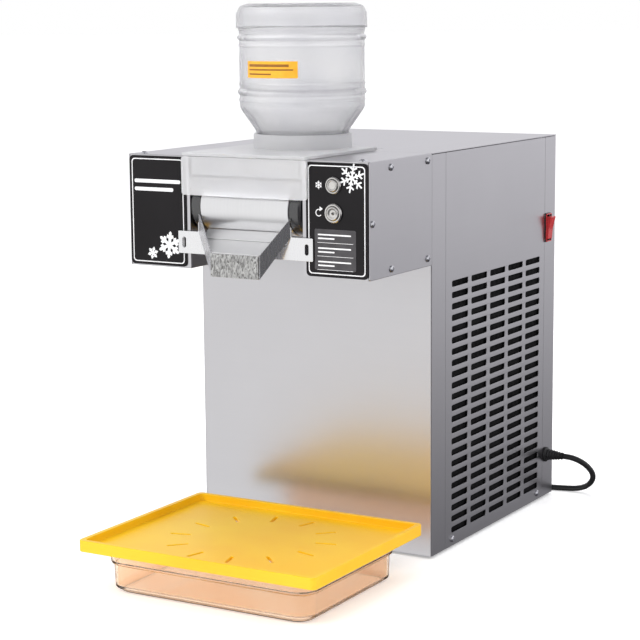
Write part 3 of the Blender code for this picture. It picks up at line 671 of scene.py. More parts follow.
@dataclass
class Bench:
    """Turns drawings in millimetres into pieces that ride on the CAD bodies.

    Args:
        origin: The layout's origin in the row frame, in metres.
        made: How many pieces have been made.
    """

    origin: Vector
    made: int = 0

    @classmethod
    def from_cabinet(cls) -> "Bench":
        """Finds the layout: centred on the top cover, with Y 0 at its front edge."""
        low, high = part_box("top_cover")
        return cls(Vector(((low.x + high.x) / 2, low.y, 0.0)))

    def at(self, point: Point) -> Vector:
        """A layout point in the row frame, in metres."""
        return Vector(point) * METRES + self.origin

    def mm(self, node: str) -> tuple[Vector, Vector]:
        """A CAD node's lowest and highest corners in the layout, in millimetres."""
        low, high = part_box(node)
        return (low - self.origin) / METRES, (high - self.origin) / METRES

    def piece(self, name: str, shape: Shape, finish: Finish, body: str, replaces: tuple[str, ...] = (),
              slot: str = "", bevel: float = 0.0, segments: int = 2) -> bpy.types.Object:
        """Makes one piece.

        Args:
            name: The piece's name.
            shape: Its bmesh in layout millimetres, which is used up.
            finish: What it is made of.
            body: The CAD body that it rides on.
            replaces: The CAD nodes that it stands for.
            slot: The record's material slot, if it takes its finish from one. Not used.
            bevel: How far sharp edges are rounded, in millimetres.
            segments: Faces across each rounded edge.

        Returns:
            The piece's object.
        """
        bmesh.ops.recalc_face_normals(shape, faces=shape.faces)
        for vert in shape.verts:
            vert.co = self.at(vert.co)
        mesh = bpy.data.meshes.new(name)
        shape.to_mesh(mesh)
        shape.free()
        mesh.shade_smooth()
        obj = bpy.data.objects.new(name, mesh)
        bpy.context.scene.collection.objects.link(obj)
        if bevel:
            rounding = obj.modifiers.new("Edges", "BEVEL")
            rounding.width = bevel * METRES
            rounding.segments = segments
            rounding.limit_method = "ANGLE"
            rounding.angle_limit = math.radians(40)
        mesh.set_sharp_from_angle(angle=math.radians(38))
        normals = obj.modifiers.new("Flat faces", "WEIGHTED_NORMAL")
        normals.keep_sharp = not bevel
        return self.place(obj, finish, body, replaces, slot)

    def place(self, obj: bpy.types.Object, finish: Finish, body: str,
              replaces: tuple[str, ...] = (), slot: str = "") -> bpy.types.Object:
        """Gives an object its finish, and says what it rides on and stands for."""
        obj.data.materials.append(finish.material())
        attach(obj, body)
        if replaces:
            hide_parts(*replaces)
        self.made += 1
        LOG.info("piece %s rides on %s", obj.name, body)
        return obj

    def dress(self, node: str, finish: Finish, bevel: float = 0.0) -> None:
        """Gives a CAD node that stays in view its finish, and softens its edges."""
        obj = bpy.data.objects[node]
        obj.data.materials.clear()
        obj.data.materials.append(finish.material())
        if bevel:
            obj.modifiers.new("Weld", "WELD").merge_threshold = 0.00001
            rounding = obj.modifiers.new("Edges", "BEVEL")
            rounding.width = bevel * METRES
            rounding.segments = 2
            rounding.limit_method = "ANGLE"
            rounding.angle_limit = math.radians(40)
        LOG.info("node %s keeps its shape", node)


@dataclass(frozen=True)
class Screw:
    """A pan head screw with a cross recess."""

    radius: float = 3.3
    height: float = 2.1
    recess: float = 2.1
    blade: float = 0.6
    recess_depth: float = 0.9
    rim_share: float = 0.35
    crown_share: float = 0.55
    crown_power: float = 2.5
    crown_stops: tuple[float, ...] = (0.94, 0.8, 0.6, 0.35)
    steps: int = 24

    def shape(self, axis: Axis, u: float, v: float, seat: float, outward: int) -> Shape:
        """The head standing on a seat, facing outward along an axis (1 or -1)."""
        top = seat + outward * self.height
        rim = seat + outward * self.rim_share * self.height
        dome = [(0, seat), (self.radius, seat), (self.radius, rim)]
        for share in self.crown_stops:
            rise = self.height * (1 - self.crown_share * share ** self.crown_power)
            dome.append((self.radius * share, seat + outward * rise))
        dome.append((0, top))
        head = turned(dome, axis, u, v, self.steps)
        depth = sorted((top - outward * self.recess_depth, top + outward))
        for a, b in ((self.recess, self.blade), (self.blade, self.recess)):
            arm = [(u - a, v - b), (u + a, v - b), (u + a, v + b), (u - a, v + b)]
            head = carved(head, prism(arm, axis, *depth))
        return head

    def row(self, axis: Axis, places: Outline, seat: float, outward: int) -> Shape:
        """Several of these screws on one seat."""
        return merged([self.shape(axis, u, v, seat, outward) for u, v in places])


# --- Studio ---------------------------------------------------------------------------------


@dataclass(frozen=True)
class Viewpoint:
    """Where the camera stands, in layout millimetres, and how it is turned, in degrees."""

    position: Point = (939.0, -1589.2, 526.2)
    azimuth: float = 30.376
    elevation: float = 9.279
    roll: float = -0.473
    lens_mm: float = 107.4
    sensor_mm: float = 36.0

    def set_up(self, bench: Bench) -> bpy.types.Object:
        """Makes the scene's camera and returns it."""
        data = bpy.data.cameras.new("camera")
        data.lens = self.lens_mm
        data.sensor_width = self.sensor_mm
        camera = bpy.data.objects.new("camera", data)
        bpy.context.scene.collection.objects.link(camera)
        a, e, r = (math.radians(x) for x in (self.azimuth, self.elevation, self.roll))
        back = Vector((math.sin(a) * math.cos(e), -math.cos(a) * math.cos(e), math.sin(e)))
        level = Vector((math.cos(a), math.sin(a), 0.0))
        lift = back.cross(level)
        right = level * math.cos(r) + lift * math.sin(r)
        up = lift * math.cos(r) - level * math.sin(r)
        turn = Matrix((right, up, back)).transposed().to_4x4()
        camera.matrix_world = Matrix.Translation(bench.at(self.position)) @ turn
        bpy.context.scene.camera = camera
        return camera


@dataclass(frozen=True)
class Lamp:
    """One soft box: where it stands and looks in the row frame, in metres, its size and power."""

    name: str
    position: Point
    target: Point
    size: tuple[float, float]
    watts: float
    mirrored: bool = True

    def hang(self) -> None:
        """Adds the area light."""
        data = bpy.data.lights.new(self.name, "AREA")
        data.shape = "RECTANGLE"
        data.size, data.size_y = self.size
        data.energy = self.watts
        lamp = bpy.data.objects.new(self.name, data)
        lamp.location = self.position
        direction = Vector(self.target) - Vector(self.position)
        lamp.rotation_euler = direction.to_track_quat("-Z", "Y").to_euler()
        lamp.visible_glossy = self.mirrored
        bpy.context.scene.collection.objects.link(lamp)


@dataclass(frozen=True)
class Studio:
    """A pale floor and wall under even light, brighter from the front left."""

    floor_radius: float = 40.0
    floor_glow: float = 0.36
    wall_height: float = 30.0
    low_colour: str = "#525155"
    side_colour: str = "#F2F1F5"
    high_colour: str = "#7C7C80"
    dark_colour: str = "#4A4A4D"
    low_light: tuple[float, float] = (-0.33, 0.0)
    high_light: tuple[float, float] = (0.35, 0.8)
    dark_way: Point = (0.54, -0.83, -0.12)
    dark_span: tuple[float, float] = (0.8, 0.97)
    white_way: Point = (-0.5, -0.866, 0.0)
    white_span: tuple[float, float] = (0.5, 0.9)
    sun_strength: float = 1.1
    lamps: tuple[Lamp, ...] = (
        Lamp("key_box", (-1.6, -2.2, 2.2), (0.0, 0.0, 0.2), (1.6, 1.6), 42.0, False),
        Lamp("fill_box", (2.4, -1.2, 1.8), (0.0, 0.0, 0.2), (1.6, 1.6), 18.0, False),
        Lamp("top_box", (0.2, 0.6, 2.6), (0.0, 0.0, 0.3), (2.0, 2.0), 22.0, False),
    )

    def build(self) -> None:
        """Lights the scene and lays the floor."""
        for lamp in self.lamps:
            lamp.hang()
        data = bpy.data.lights.new("overhead_wash", "SUN")
        data.energy = self.sun_strength
        data.angle = math.radians(90)
        wash = bpy.data.objects.new("overhead_wash", data)
        wash.visible_glossy = False
        bpy.context.scene.collection.objects.link(wash)
        self.lay_floor()
        self.raise_wall()
        self.light_room()

    def lay_floor(self) -> None:
        """A wide round floor, faintly lit from below, which the metal doesn't mirror."""
        shape = bmesh.new()
        ring = [shape.verts.new((x, y, 0.0)) for x, y in circle(self.floor_radius, steps=96)]
        shape.faces.new(ring)
        material = FLOOR_PAINT.material()
        shader = material.node_tree.nodes["Principled BSDF"]
        shader.inputs["Emission Color"].default_value = linear("#FFFFFF")
        shader.inputs["Emission Strength"].default_value = self.floor_glow
        self.stage("floor", shape, material).visible_glossy = False

    def raise_wall(self) -> None:
        """A far pale wall behind the floor's edge, there for the camera only."""
        rings = [
            [(x, y, z) for x, y in circle(self.floor_radius * 0.98, steps=96)]
            for z in (-0.5, self.wall_height)
        ]
        material = bpy.data.materials.new("pale_backdrop")
        material.use_nodes = True
        tree = material.node_tree
        glow = add_node(tree, "ShaderNodeEmission", {"Color": linear("#FFFFFF"), "Strength": 1.0})
        tree.links.new(glow.outputs[0], tree.nodes["Material Output"].inputs["Surface"])
        wall = self.stage("backdrop", loft(rings, capped=False), material)
        wall.visible_diffuse = False
        wall.visible_glossy = False
        wall.visible_transmission = False
        wall.visible_shadow = False

    def stage(self, name: str, shape: Shape, material: bpy.types.Material) -> bpy.types.Object:
        """Puts up a part of the studio, which isn't part of the machine."""
        mesh = bpy.data.meshes.new(name)
        shape.to_mesh(mesh)
        shape.free()
        mesh.materials.append(material)
        obj = bpy.data.objects.new(name, mesh)
        bpy.context.scene.collection.objects.link(obj)
        return obj

    def light_room(self) -> None:
        """The room's own light, which is what the metal shows.

        It is white toward the front left, grey at the back right, and darker low down, high up and
        straight in front of the machine's right corner.
        """
        world = bpy.data.worlds.new("studio_room")
        world.use_nodes = True
        bpy.context.scene.world = world
        tree = world.node_tree
        way = add_node(tree, "ShaderNodeTexCoord").outputs["Generated"]
        height = add_node(tree, "ShaderNodeSeparateXYZ", {}, {0: way}).outputs["Z"]

        def share(value: bpy.types.NodeSocket, low: float, high: float) -> bpy.types.NodeSocket:
            """A soft step from 0 at low to 1 at high."""
            settings = {"From Min": low, "From Max": high, "interpolation_type": "SMOOTHSTEP"}
            return add_node(tree, "ShaderNodeMapRange", settings, {"Value": value}).outputs[0]

        def toward(direction: Point) -> bpy.types.NodeSocket:
            """How nearly a ray goes in a direction: 1 where it does."""
            settings = {"operation": "DOT_PRODUCT", 1: direction}
            return add_node(tree, "ShaderNodeVectorMath", settings, {0: way}).outputs["Value"]

        def blend(amount: bpy.types.NodeSocket, start: bpy.types.NodeSocket | str,
                  end: str) -> bpy.types.NodeSocket:
            """Goes from one colour to another by an amount."""
            settings = {"data_type": "RGBA", 7: linear(end)}
            links = {0: amount}
            if isinstance(start, str):
                settings[6] = linear(start)
            else:
                links[6] = start
            return add_node(tree, "ShaderNodeMix", settings, links).outputs[2]

        room = blend(share(height, *self.low_light), self.low_colour, self.side_colour)
        room = blend(share(height, *self.high_light), room, self.high_colour)
        room = blend(share(toward(self.dark_way), *self.dark_span), room, self.dark_colour)
        room = blend(share(toward(self.white_way), *self.white_span), room, "#FFFFFF")
        background = tree.nodes["Background"]
        tree.links.new(room, background.inputs["Color"])
        background.inputs["Strength"].default_value = 1.0


# --- The mains lead -------------------------------------------------------------------------


@dataclass
class Lead:
    """The mains lead: strain relief, one sheathed cord with its spare length coiled, and plug."""

    bench: Bench
    radius: float = 3.0
    length_m: float = 1.8
    coil_centre: tuple[float, float] = (-4.0, 336.0)
    turn_radii: tuple[float, ...] = (39.0, 33.0, 27.0)
    layers: tuple[float, ...] = (3.2, 9.2, 15.2)
    steps_a_turn: int = 40
    shift_start: float = 0.84
    shift_end: float = 0.96
    route: tuple[Point, ...] = (
        (151.3, 269.5, 48.6), (158.5, 269.8, 48.2), (166.0, 271.8, 46.0), (172.5, 277.0, 41.0),
        (176.0, 285.0, 33.5), (175.5, 294.5, 24.5), (170.5, 302.5, 15.5), (162.0, 307.5, 8.2),
        (151.0, 309.0, 4.3), (138.0, 307.6, 3.3), (122.0, 304.0, 3.2), (104.0, 299.8, 3.2),
        (86.0, 297.4, 3.2), (68.0, 297.0, 3.2), (43.0, 297.0, 3.2), (18.4, 297.0, 3.2),
    )
    tail: tuple[Point, ...] = (
        (-26.6, 297.0, 15.2), (-36.0, 297.6, 14.8), (-46.0, 300.0, 13.0), (-55.0, 303.6, 10.6),
        (-64.0, 305.6, 9.2), (-70.0, 306.0, 9.0),
    )
    plug_start: Point = (-70.3, 306.0, 9.0)
    tie_section: tuple[float, float, float] = (19.6, 18.2, 3.2)
    tie_wall: float = 0.7
    tie_reach: float = 9.0
    gland_face: float = 130.3
    gland_bore: float = 3.05
    gland_shank: float = 5.8
    gland_flange: float = 8.0
    gland_ribs: int = 5
    rib_start: float = 133.6
    rib_step: float = 2.9
    rib_radius: float = 6.1
    rib_taper: float = 0.42
    plug_sections: tuple[tuple[float, float, float, float], ...] = (
        (0.0, 8.4, 8.4, 4.1), (1.0, 9.2, 9.2, 4.4), (8.0, 10.5, 10.0, 4.6), (12.5, 14.0, 12.0, 5.0),
        (16.5, 21.5, 15.0, 5.6), (18.0, 23.4, 15.8, 5.8), (20.0, 24.0, 16.0, 5.8),
        (23.0, 24.0, 16.0, 5.8), (24.0, 22.6, 15.0, 5.4), (26.0, 22.6, 15.0, 5.4),
        (27.0, 24.0, 16.0, 5.8), (29.0, 24.0, 16.0, 5.8), (30.0, 22.6, 15.0, 5.4),
        (32.0, 22.6, 15.0, 5.4), (33.0, 24.0, 16.0, 5.8), (40.5, 24.0, 16.0, 5.8),
        (41.6, 23.2, 15.2, 5.4), (42.0, 21.4, 13.4, 4.6),
    )
    blade_spacing: float = 6.35
    blade_size: tuple[float, float, float] = (41.8, 59.0, 6.2)
    blade_thickness: float = 1.5
    blade_hole: tuple[float, float] = (1.4, 54.0)

    def build(self) -> None:
        gland = self.gland()
        pieces = self.plug()
        cord = self.cord()
        tuple(self.bench.at(self.route[0]))
        self.tie()
        LOG.info("%s holds the cord at the rear strip", gland.name)

    def turns(self) -> list[Vector]:
        """The coil's centreline: in along the floor, out above it, and once round on top.

        Returns:
            Points from where the cord meets the coil to where it leaves it, both at its front.
        """
        plan = [(radius, self.layers[0]) for radius in self.turn_radii]
        plan += [(radius, self.layers[1]) for radius in reversed(self.turn_radii)]
        plan.append((self.turn_radii[0], self.layers[2]))
        plan.append(plan[-1])
        points = []
        for (radius, height), (next_radius, next_height) in zip(plan, plan[1:]):
            for i in range(self.steps_a_turn):
                share = i / self.steps_a_turn
                move = smoothstep((share - self.shift_start) / (self.shift_end - self.shift_start))
                r = radius + (next_radius - radius) * move
                z = height + (next_height - height) * move
                angle = -math.pi / 2 - 2 * math.pi * share
                x = self.coil_centre[0] + r * math.cos(angle)
                y = self.coil_centre[1] + r * math.sin(angle)
                points.append(Vector((x, y, z)))
        radius, height = plan[-1]
        points.append(Vector((self.coil_centre[0], self.coil_centre[1] - radius, height)))
        return points

    def cord(self) -> bpy.types.Object:
        """The sheathed cord as one curve from the strain relief to the plug."""
        curve = bpy.data.curves.new("mains_cord", "CURVE")
        curve.dimensions = "3D"
        curve.bevel_depth = self.radius * METRES
        curve.bevel_resolution = 5
        curve.use_fill_caps = True
        points = smooth_path(list(self.route), 5.0) + self.turns() + smooth_path(list(self.tail), 5.0)
        spline = curve.splines.new("POLY")
        spline.points.add(len(points) - 1)
        for target, point in zip(spline.points, points):
            target.co = (*self.bench.at(point), 1.0)
        spline.use_smooth = True
        cord = bpy.data.objects.new("mains_cord", curve)
        bpy.context.scene.collection.objects.link(cord)
        return self.bench.place(
            cord, BLACK_PVC, "cabinet", ("power_cord", "cord_coil", "cord_tail"), "rubber"
        )

    def tie(self) -> bpy.types.Object:
        """The hook and loop tie round the coil's turns, on the side away from the cabinet."""
        middle = (self.turn_radii[0] + self.turn_radii[-1]) / 2
        width, height, corner = self.tie_section
        centre = Vector((*self.coil_centre, 0.0))
        rings = []
        for grow, ends in ((0.0, (-1, 1)), (-self.tie_wall, (1, -1))):
            outline = rectangle(width + 2 * grow, height + 2 * grow, corner + grow, middle,
                                self.layers[1], 5)
            for end in ends:
                shift = Vector((-end * self.tie_reach, 0.0, 0.0))
                rings.append([tuple(centre + shift + Vector((0.0, u, v))) for u, v in outline])
        return self.bench.piece(
            "cord_tie", loft(rings, looped=True), BLACK_NYLON, "cabinet", slot="rubber", bevel=0.15
        )

    def gland(self) -> bpy.types.Object:
        """The snap-in gland, ribbed and tapering down to the cord."""
        low, high = self.bench.mm("cord_gland")
        centre = (low + high) / 2
        bore, shank, face, flange = self.gland_bore, self.gland_shank, self.gland_face, self.gland_flange
        profile = [(bore, low.x), (shank, low.x), (shank, face), (flange, face), (flange, face + 1.7),
                   (flange - 1.6, face + 2.3)]
        for i in range(self.gland_ribs):
            start = self.rib_start + self.rib_step * i
            radius = self.rib_radius - self.rib_taper * i
            profile += [(radius - 0.9, start), (radius, start + 0.5), (radius - 0.1, start + 1.7),
                        (radius - 1.0, start + 2.2)]
        profile += [(bore + 0.85, high.x - 1.2), (bore + 0.45, high.x), (bore, high.x)]
        shape = turned(eased(profile, 0.4, 2), Axis.X, centre.y, centre.z, 40)
        return self.bench.piece("strain_relief", shape, BLACK_PVC, "cabinet", ("cord_gland",), "rubber")

    def plug(self) -> list[bpy.types.Object]:
        """The moulded two blade plug: a grip with finger ribs, and brass blades."""
        x, y, z = self.plug_start
        rings = [
            [(x - along, u, v) for u, v in rectangle(width, height, radius, y, z, 6)]
            for along, width, height, radius in self.plug_sections
        ]
        body = self.bench.piece(
            "plug_body", loft(rings), BLACK_PVC, "cabinet", ("mains_plug",), "rubber"
        )
        root, tip, height = self.blade_size
        radius, reach = self.blade_hole
        blades = []
        for side in (-1, 1):
            centre = y + side * self.blade_spacing
            corners = [(x - root, z - height / 2), (x - root, z + height / 2), (x - tip, z + height / 2),
                       (x - tip, z - height / 2)]
            faces = (centre - self.blade_thickness / 2, centre + self.blade_thickness / 2)
            hole = circle(radius, x - reach, z, 16)
            blades.append(plate(eased(corners, 1.6), [hole], Axis.Y, *faces, 0.25))
        pins = self.bench.piece("plug_blades", merged(blades), BRASS, "cabinet", slot="brass")
        return [body, pins]


# --- Cabinet --------------------------------------------------------------------------------


@dataclass
class Cabinet:
    """The upright sheet metal body with its slotted sides, black sheets of painted shade behind the
    slots, and screws.
    """

    bench: Bench
    half: float = 130.0
    depth: float = 290.0
    base: float = 3.0
    top: float = 392.0
    sheet: float = 1.2
    gap: float = 0.3
    bend: float = 2.0
    front_wrap: float = 29.0
    rear_wrap: float = 28.0
    slot_columns: int = 5
    slot_rows: int = 23
    slot_first: tuple[float, float] = (60.4, 19.0)
    slot_step: tuple[float, float] = (42.9, 11.1)
    slot_size: tuple[float, float] = (35.4, 6.0)
    slot_corner: float = 1.9
    rear_slots: tuple[float, ...] = (-60.0, 0.0, 60.0)
    rear_slot_rows: int = 10
    tank_notch: float = 62.0
    screw: Screw = field(default_factory=Screw)
    past: float = 3.0
    behind: float = 5.0
    wall_cut: tuple[float, float] = (120.0, 140.0)
    window: tuple[float, float, float, float] = (72.0, 118.0, 300.0, 380.0)
    notch_base: float = 368.0
    notch_back: float = 32.5
    rear_slot_first: float = 60.0
    rear_slot_step: float = 14.0
    rear_slot_length: float = 50.0
    switch_hole: tuple[float, float, float, float] = (263.0, 275.0, 280.7, 309.3)
    cord_hole: tuple[float, float, float] = (6.3, 269.5, 48.6)
    # Black sheets behind the slots, painted shade for the cabinet's dark inside: their gap, thickness,
    # corner and sizes.
    shade_sheet_gap: float = 1.0
    shade_sheet_thickness: float = 0.8
    shade_sheet_corner: float = 4.0
    side_shade_area: tuple[float, float, float, float] = (222.0, 262.0, 146.0, 141.0)
    rear_shade_area: tuple[float, float, float, float] = (186.0, 146.0, 0.0, 123.0)
    side_screws: tuple[tuple[float, float], ...] = ((247.5, 10.2), (44.0, 10.2))
    rear_screws: tuple[tuple[float, ...], tuple[float, ...]] = ((-118.0, 118.0), (14.0, 200.0, 380.0))

    def build(self) -> None:
        """Makes every skin of the cabinet."""
        self.front()
        self.rear()
        for side in Side:
            self.side_panel(side)
            # A black sheet behind each side's slots paints the shade inside.
            self.side_shade_sheet(side)
        self.lid()
        # A black sheet behind the rear slots paints the shade inside.
        self.rear_shade_sheet()
        self.screws()
        self.bench.dress("base_plate", GALVANISED, 0.3)
        for end in ("front", "rear"):
            for side in Side:
                self.bench.dress(f"foot_{end}_{side.word}", RUBBER, 0.3)

    @property
    def under_top(self) -> float:
        """The height at which the upright skins end, just under the top."""
        return self.top - self.sheet - self.gap

    def folded(self, wrap: float) -> Outline:
        """The plan of a sheet folded back at both sides, with its front face at Y 0."""
        half, bend, sheet = self.half, self.bend, self.sheet
        outside = eased([(-half, wrap), (-half, 0), (half, 0), (half, wrap)], bend, 5)
        inside = eased(
            [(half - sheet, wrap), (half - sheet, sheet), (sheet - half, sheet), (sheet - half, wrap)],
            bend - sheet, 5,
        )
        first = [p for p in outside if p[1] < wrap - bend]
        second = [p for p in inside if p[1] < wrap - bend]
        return [(-half, wrap), *first, (half, wrap), (half - sheet, wrap), *second, (sheet - half, wrap)]

    def front(self) -> None:
        """The front skin, folded back on both sides, with its hidden windows and tank notch."""
        shape = prism(self.folded(self.front_wrap), Axis.Z, self.base, self.under_top)
        inner, outer, base, top = self.window
        for side in Side:
            low, high = sorted((side.value * inner, side.value * outer))
            shape = carved(shape, block((low, -self.past, base), (high, self.behind, top)))
        notch = (-self.tank_notch, -self.past, self.notch_base)
        shape = carved(shape, block(notch, (self.tank_notch, self.behind, self.top)))
        self.bench.piece("front_skin", shape, SATIN_STEEL, "cabinet", ("front_panel",), "sheet", 0.25)

    def rear(self) -> None:
        """The rear skin with its slots, switch window and cord hole."""
        outline = [(x, self.depth - y) for x, y in self.folded(self.rear_wrap)]
        shape = prism(outline, Axis.Z, self.base, self.under_top)
        size = (self.rear_slot_length, self.slot_size[1], self.slot_corner)
        through = (self.depth - self.behind, self.depth + self.past)
        slots = []
        for x in self.rear_slots:
            for row in range(self.rear_slot_rows):
                height = self.rear_slot_first + self.rear_slot_step * row
                slots.append(prism(rectangle(*size, x, height, 4), Axis.Y, *through))
        shape = carved(shape, merged(slots))
        inside, outside = self.wall_cut
        near, far, base, top = self.switch_hole
        shape = carved(shape, block((inside, near, base), (outside, far, top)))
        shape = carved(shape, prism(circle(*self.cord_hole, 32), Axis.X, *self.wall_cut))
        self.bench.piece("rear_skin", shape, SATIN_STEEL, "cabinet", ("rear_panel",), "sheet", 0.2)

    def side_panel(self, side: Side) -> None:
        """One flat side with its grid of round cornered slots."""
        low, high = self.bench.mm(f"side_panel_{side.word}")
        outline = rectangle(high.y - low.y, high.z - low.z, 0.8, (low.y + high.y) / 2,
                            (low.z + high.z) / 2, 2)
        holes = []
        for column in range(self.slot_columns):
            for row in range(self.slot_rows):
                y = self.slot_first[0] + self.slot_step[0] * column
                z = self.slot_first[1] + self.slot_step[1] * row
                holes.append(rectangle(*self.slot_size, self.slot_corner, y, z, 4))
        shape = plate(outline, holes, Axis.X, low.x, high.x, 0.2)
        self.bench.piece(
            f"vented_side_{side.word}", shape, SATIN_STEEL, "cabinet",
            (f"side_panel_{side.word}",), "sheet",
        )

    def side_shade_sheet(self, side: Side) -> None:
        """The woven black sheet close behind one side's slots, painted shade for the dark inside of the
        cabinet.
        """
        width, height, y, z = self.side_shade_area
        outline = rectangle(width, height, self.shade_sheet_corner, y, z, 4)
        seat = side.value * (self.half - self.sheet - self.shade_sheet_gap)
        span = sorted((seat, seat - side.value * self.shade_sheet_thickness))
        shape = plate(outline, [], Axis.X, *span, 0.2)
        self.bench.piece(f"painted_shade_sheet_{side.word}", shape, SHADE_SHEET_MESH, "cabinet")

    def rear_shade_sheet(self) -> None:
        """The woven black sheet close behind the rear slots, painted shade for the dark inside of the
        cabinet.
        """
        width, height, x, z = self.rear_shade_area
        outline = rectangle(width, height, self.shade_sheet_corner, x, z, 4)
        seat = self.depth - self.sheet - self.shade_sheet_gap
        shape = plate(outline, [], Axis.Y, seat - self.shade_sheet_thickness, seat, 0.2)
        self.bench.piece("painted_shade_sheet_rear", shape, SHADE_SHEET_MESH, "cabinet")

    def lid(self) -> None:
        """The flat top, notched round the tank."""
        low, high = self.bench.mm("top_cover")
        half, notch, back = self.half, self.tank_notch, self.notch_back
        corners = [
            (-half, 0), (-notch, 0), (-notch, back), (notch, back), (notch, 0), (half, 0),
            (half, self.depth), (-half, self.depth),
        ]
        shape = plate(eased(corners, 0.8), [], Axis.Z, low.z, high.z, 0.4)
        self.bench.piece("flat_top", shape, TOP_STEEL, "cabinet", ("top_cover",), "sheet")

    def screws(self) -> None:
        """Pan head screws of the sides and the rear."""
        for side in Side:
            shape = self.screw.row(Axis.X, list(self.side_screws), side.value * self.half, side.value)
            self.bench.piece(f"side_screws_{side.word}", shape, ZINC, "cabinet")
        columns, rows = self.rear_screws
        places = [(x, z) for x in columns for z in rows]
        shape = self.screw.row(Axis.Y, places, self.depth, 1)
        self.bench.piece("rear_screws", shape, ZINC, "cabinet")


# --- Head and controls ----------------------------------------------------------------------


@dataclass(frozen=True)
class Snowflake:
    """A plain six armed snow crystal, printed in one colour."""

    radius: float
    stem: float
    branches: tuple[tuple[float, float], ...]
    turn: float = 90.0

    def outline(self, u: float, v: float) -> Outline:
        """The crystal's outline around (u, v)."""
        slope = math.radians(60)
        half_arm = [(self.stem / math.tan(math.radians(30)), self.stem)]
        for start, length in self.branches:
            tip = (start + length * math.cos(slope), self.stem + length * math.sin(slope))
            width = 2 * self.stem / math.sin(slope)
            half_arm += [(start, self.stem), tip, (tip[0] + 0.8 * width, tip[1] - 0.2 * width),
                         (start + width, self.stem)]
        half_arm.append((self.radius - self.stem, self.stem))
        arm = half_arm + [(self.radius, 0.0)] + [(a, -b) for a, b in reversed(half_arm[1:])]
        points = []
        for k in range(6):
            angle = math.radians(self.turn - 60 * k)
            cos, sin = math.cos(angle), math.sin(angle)
            points += [(u + a * cos - b * sin, v + a * sin + b * cos) for a, b in arm]
        return points


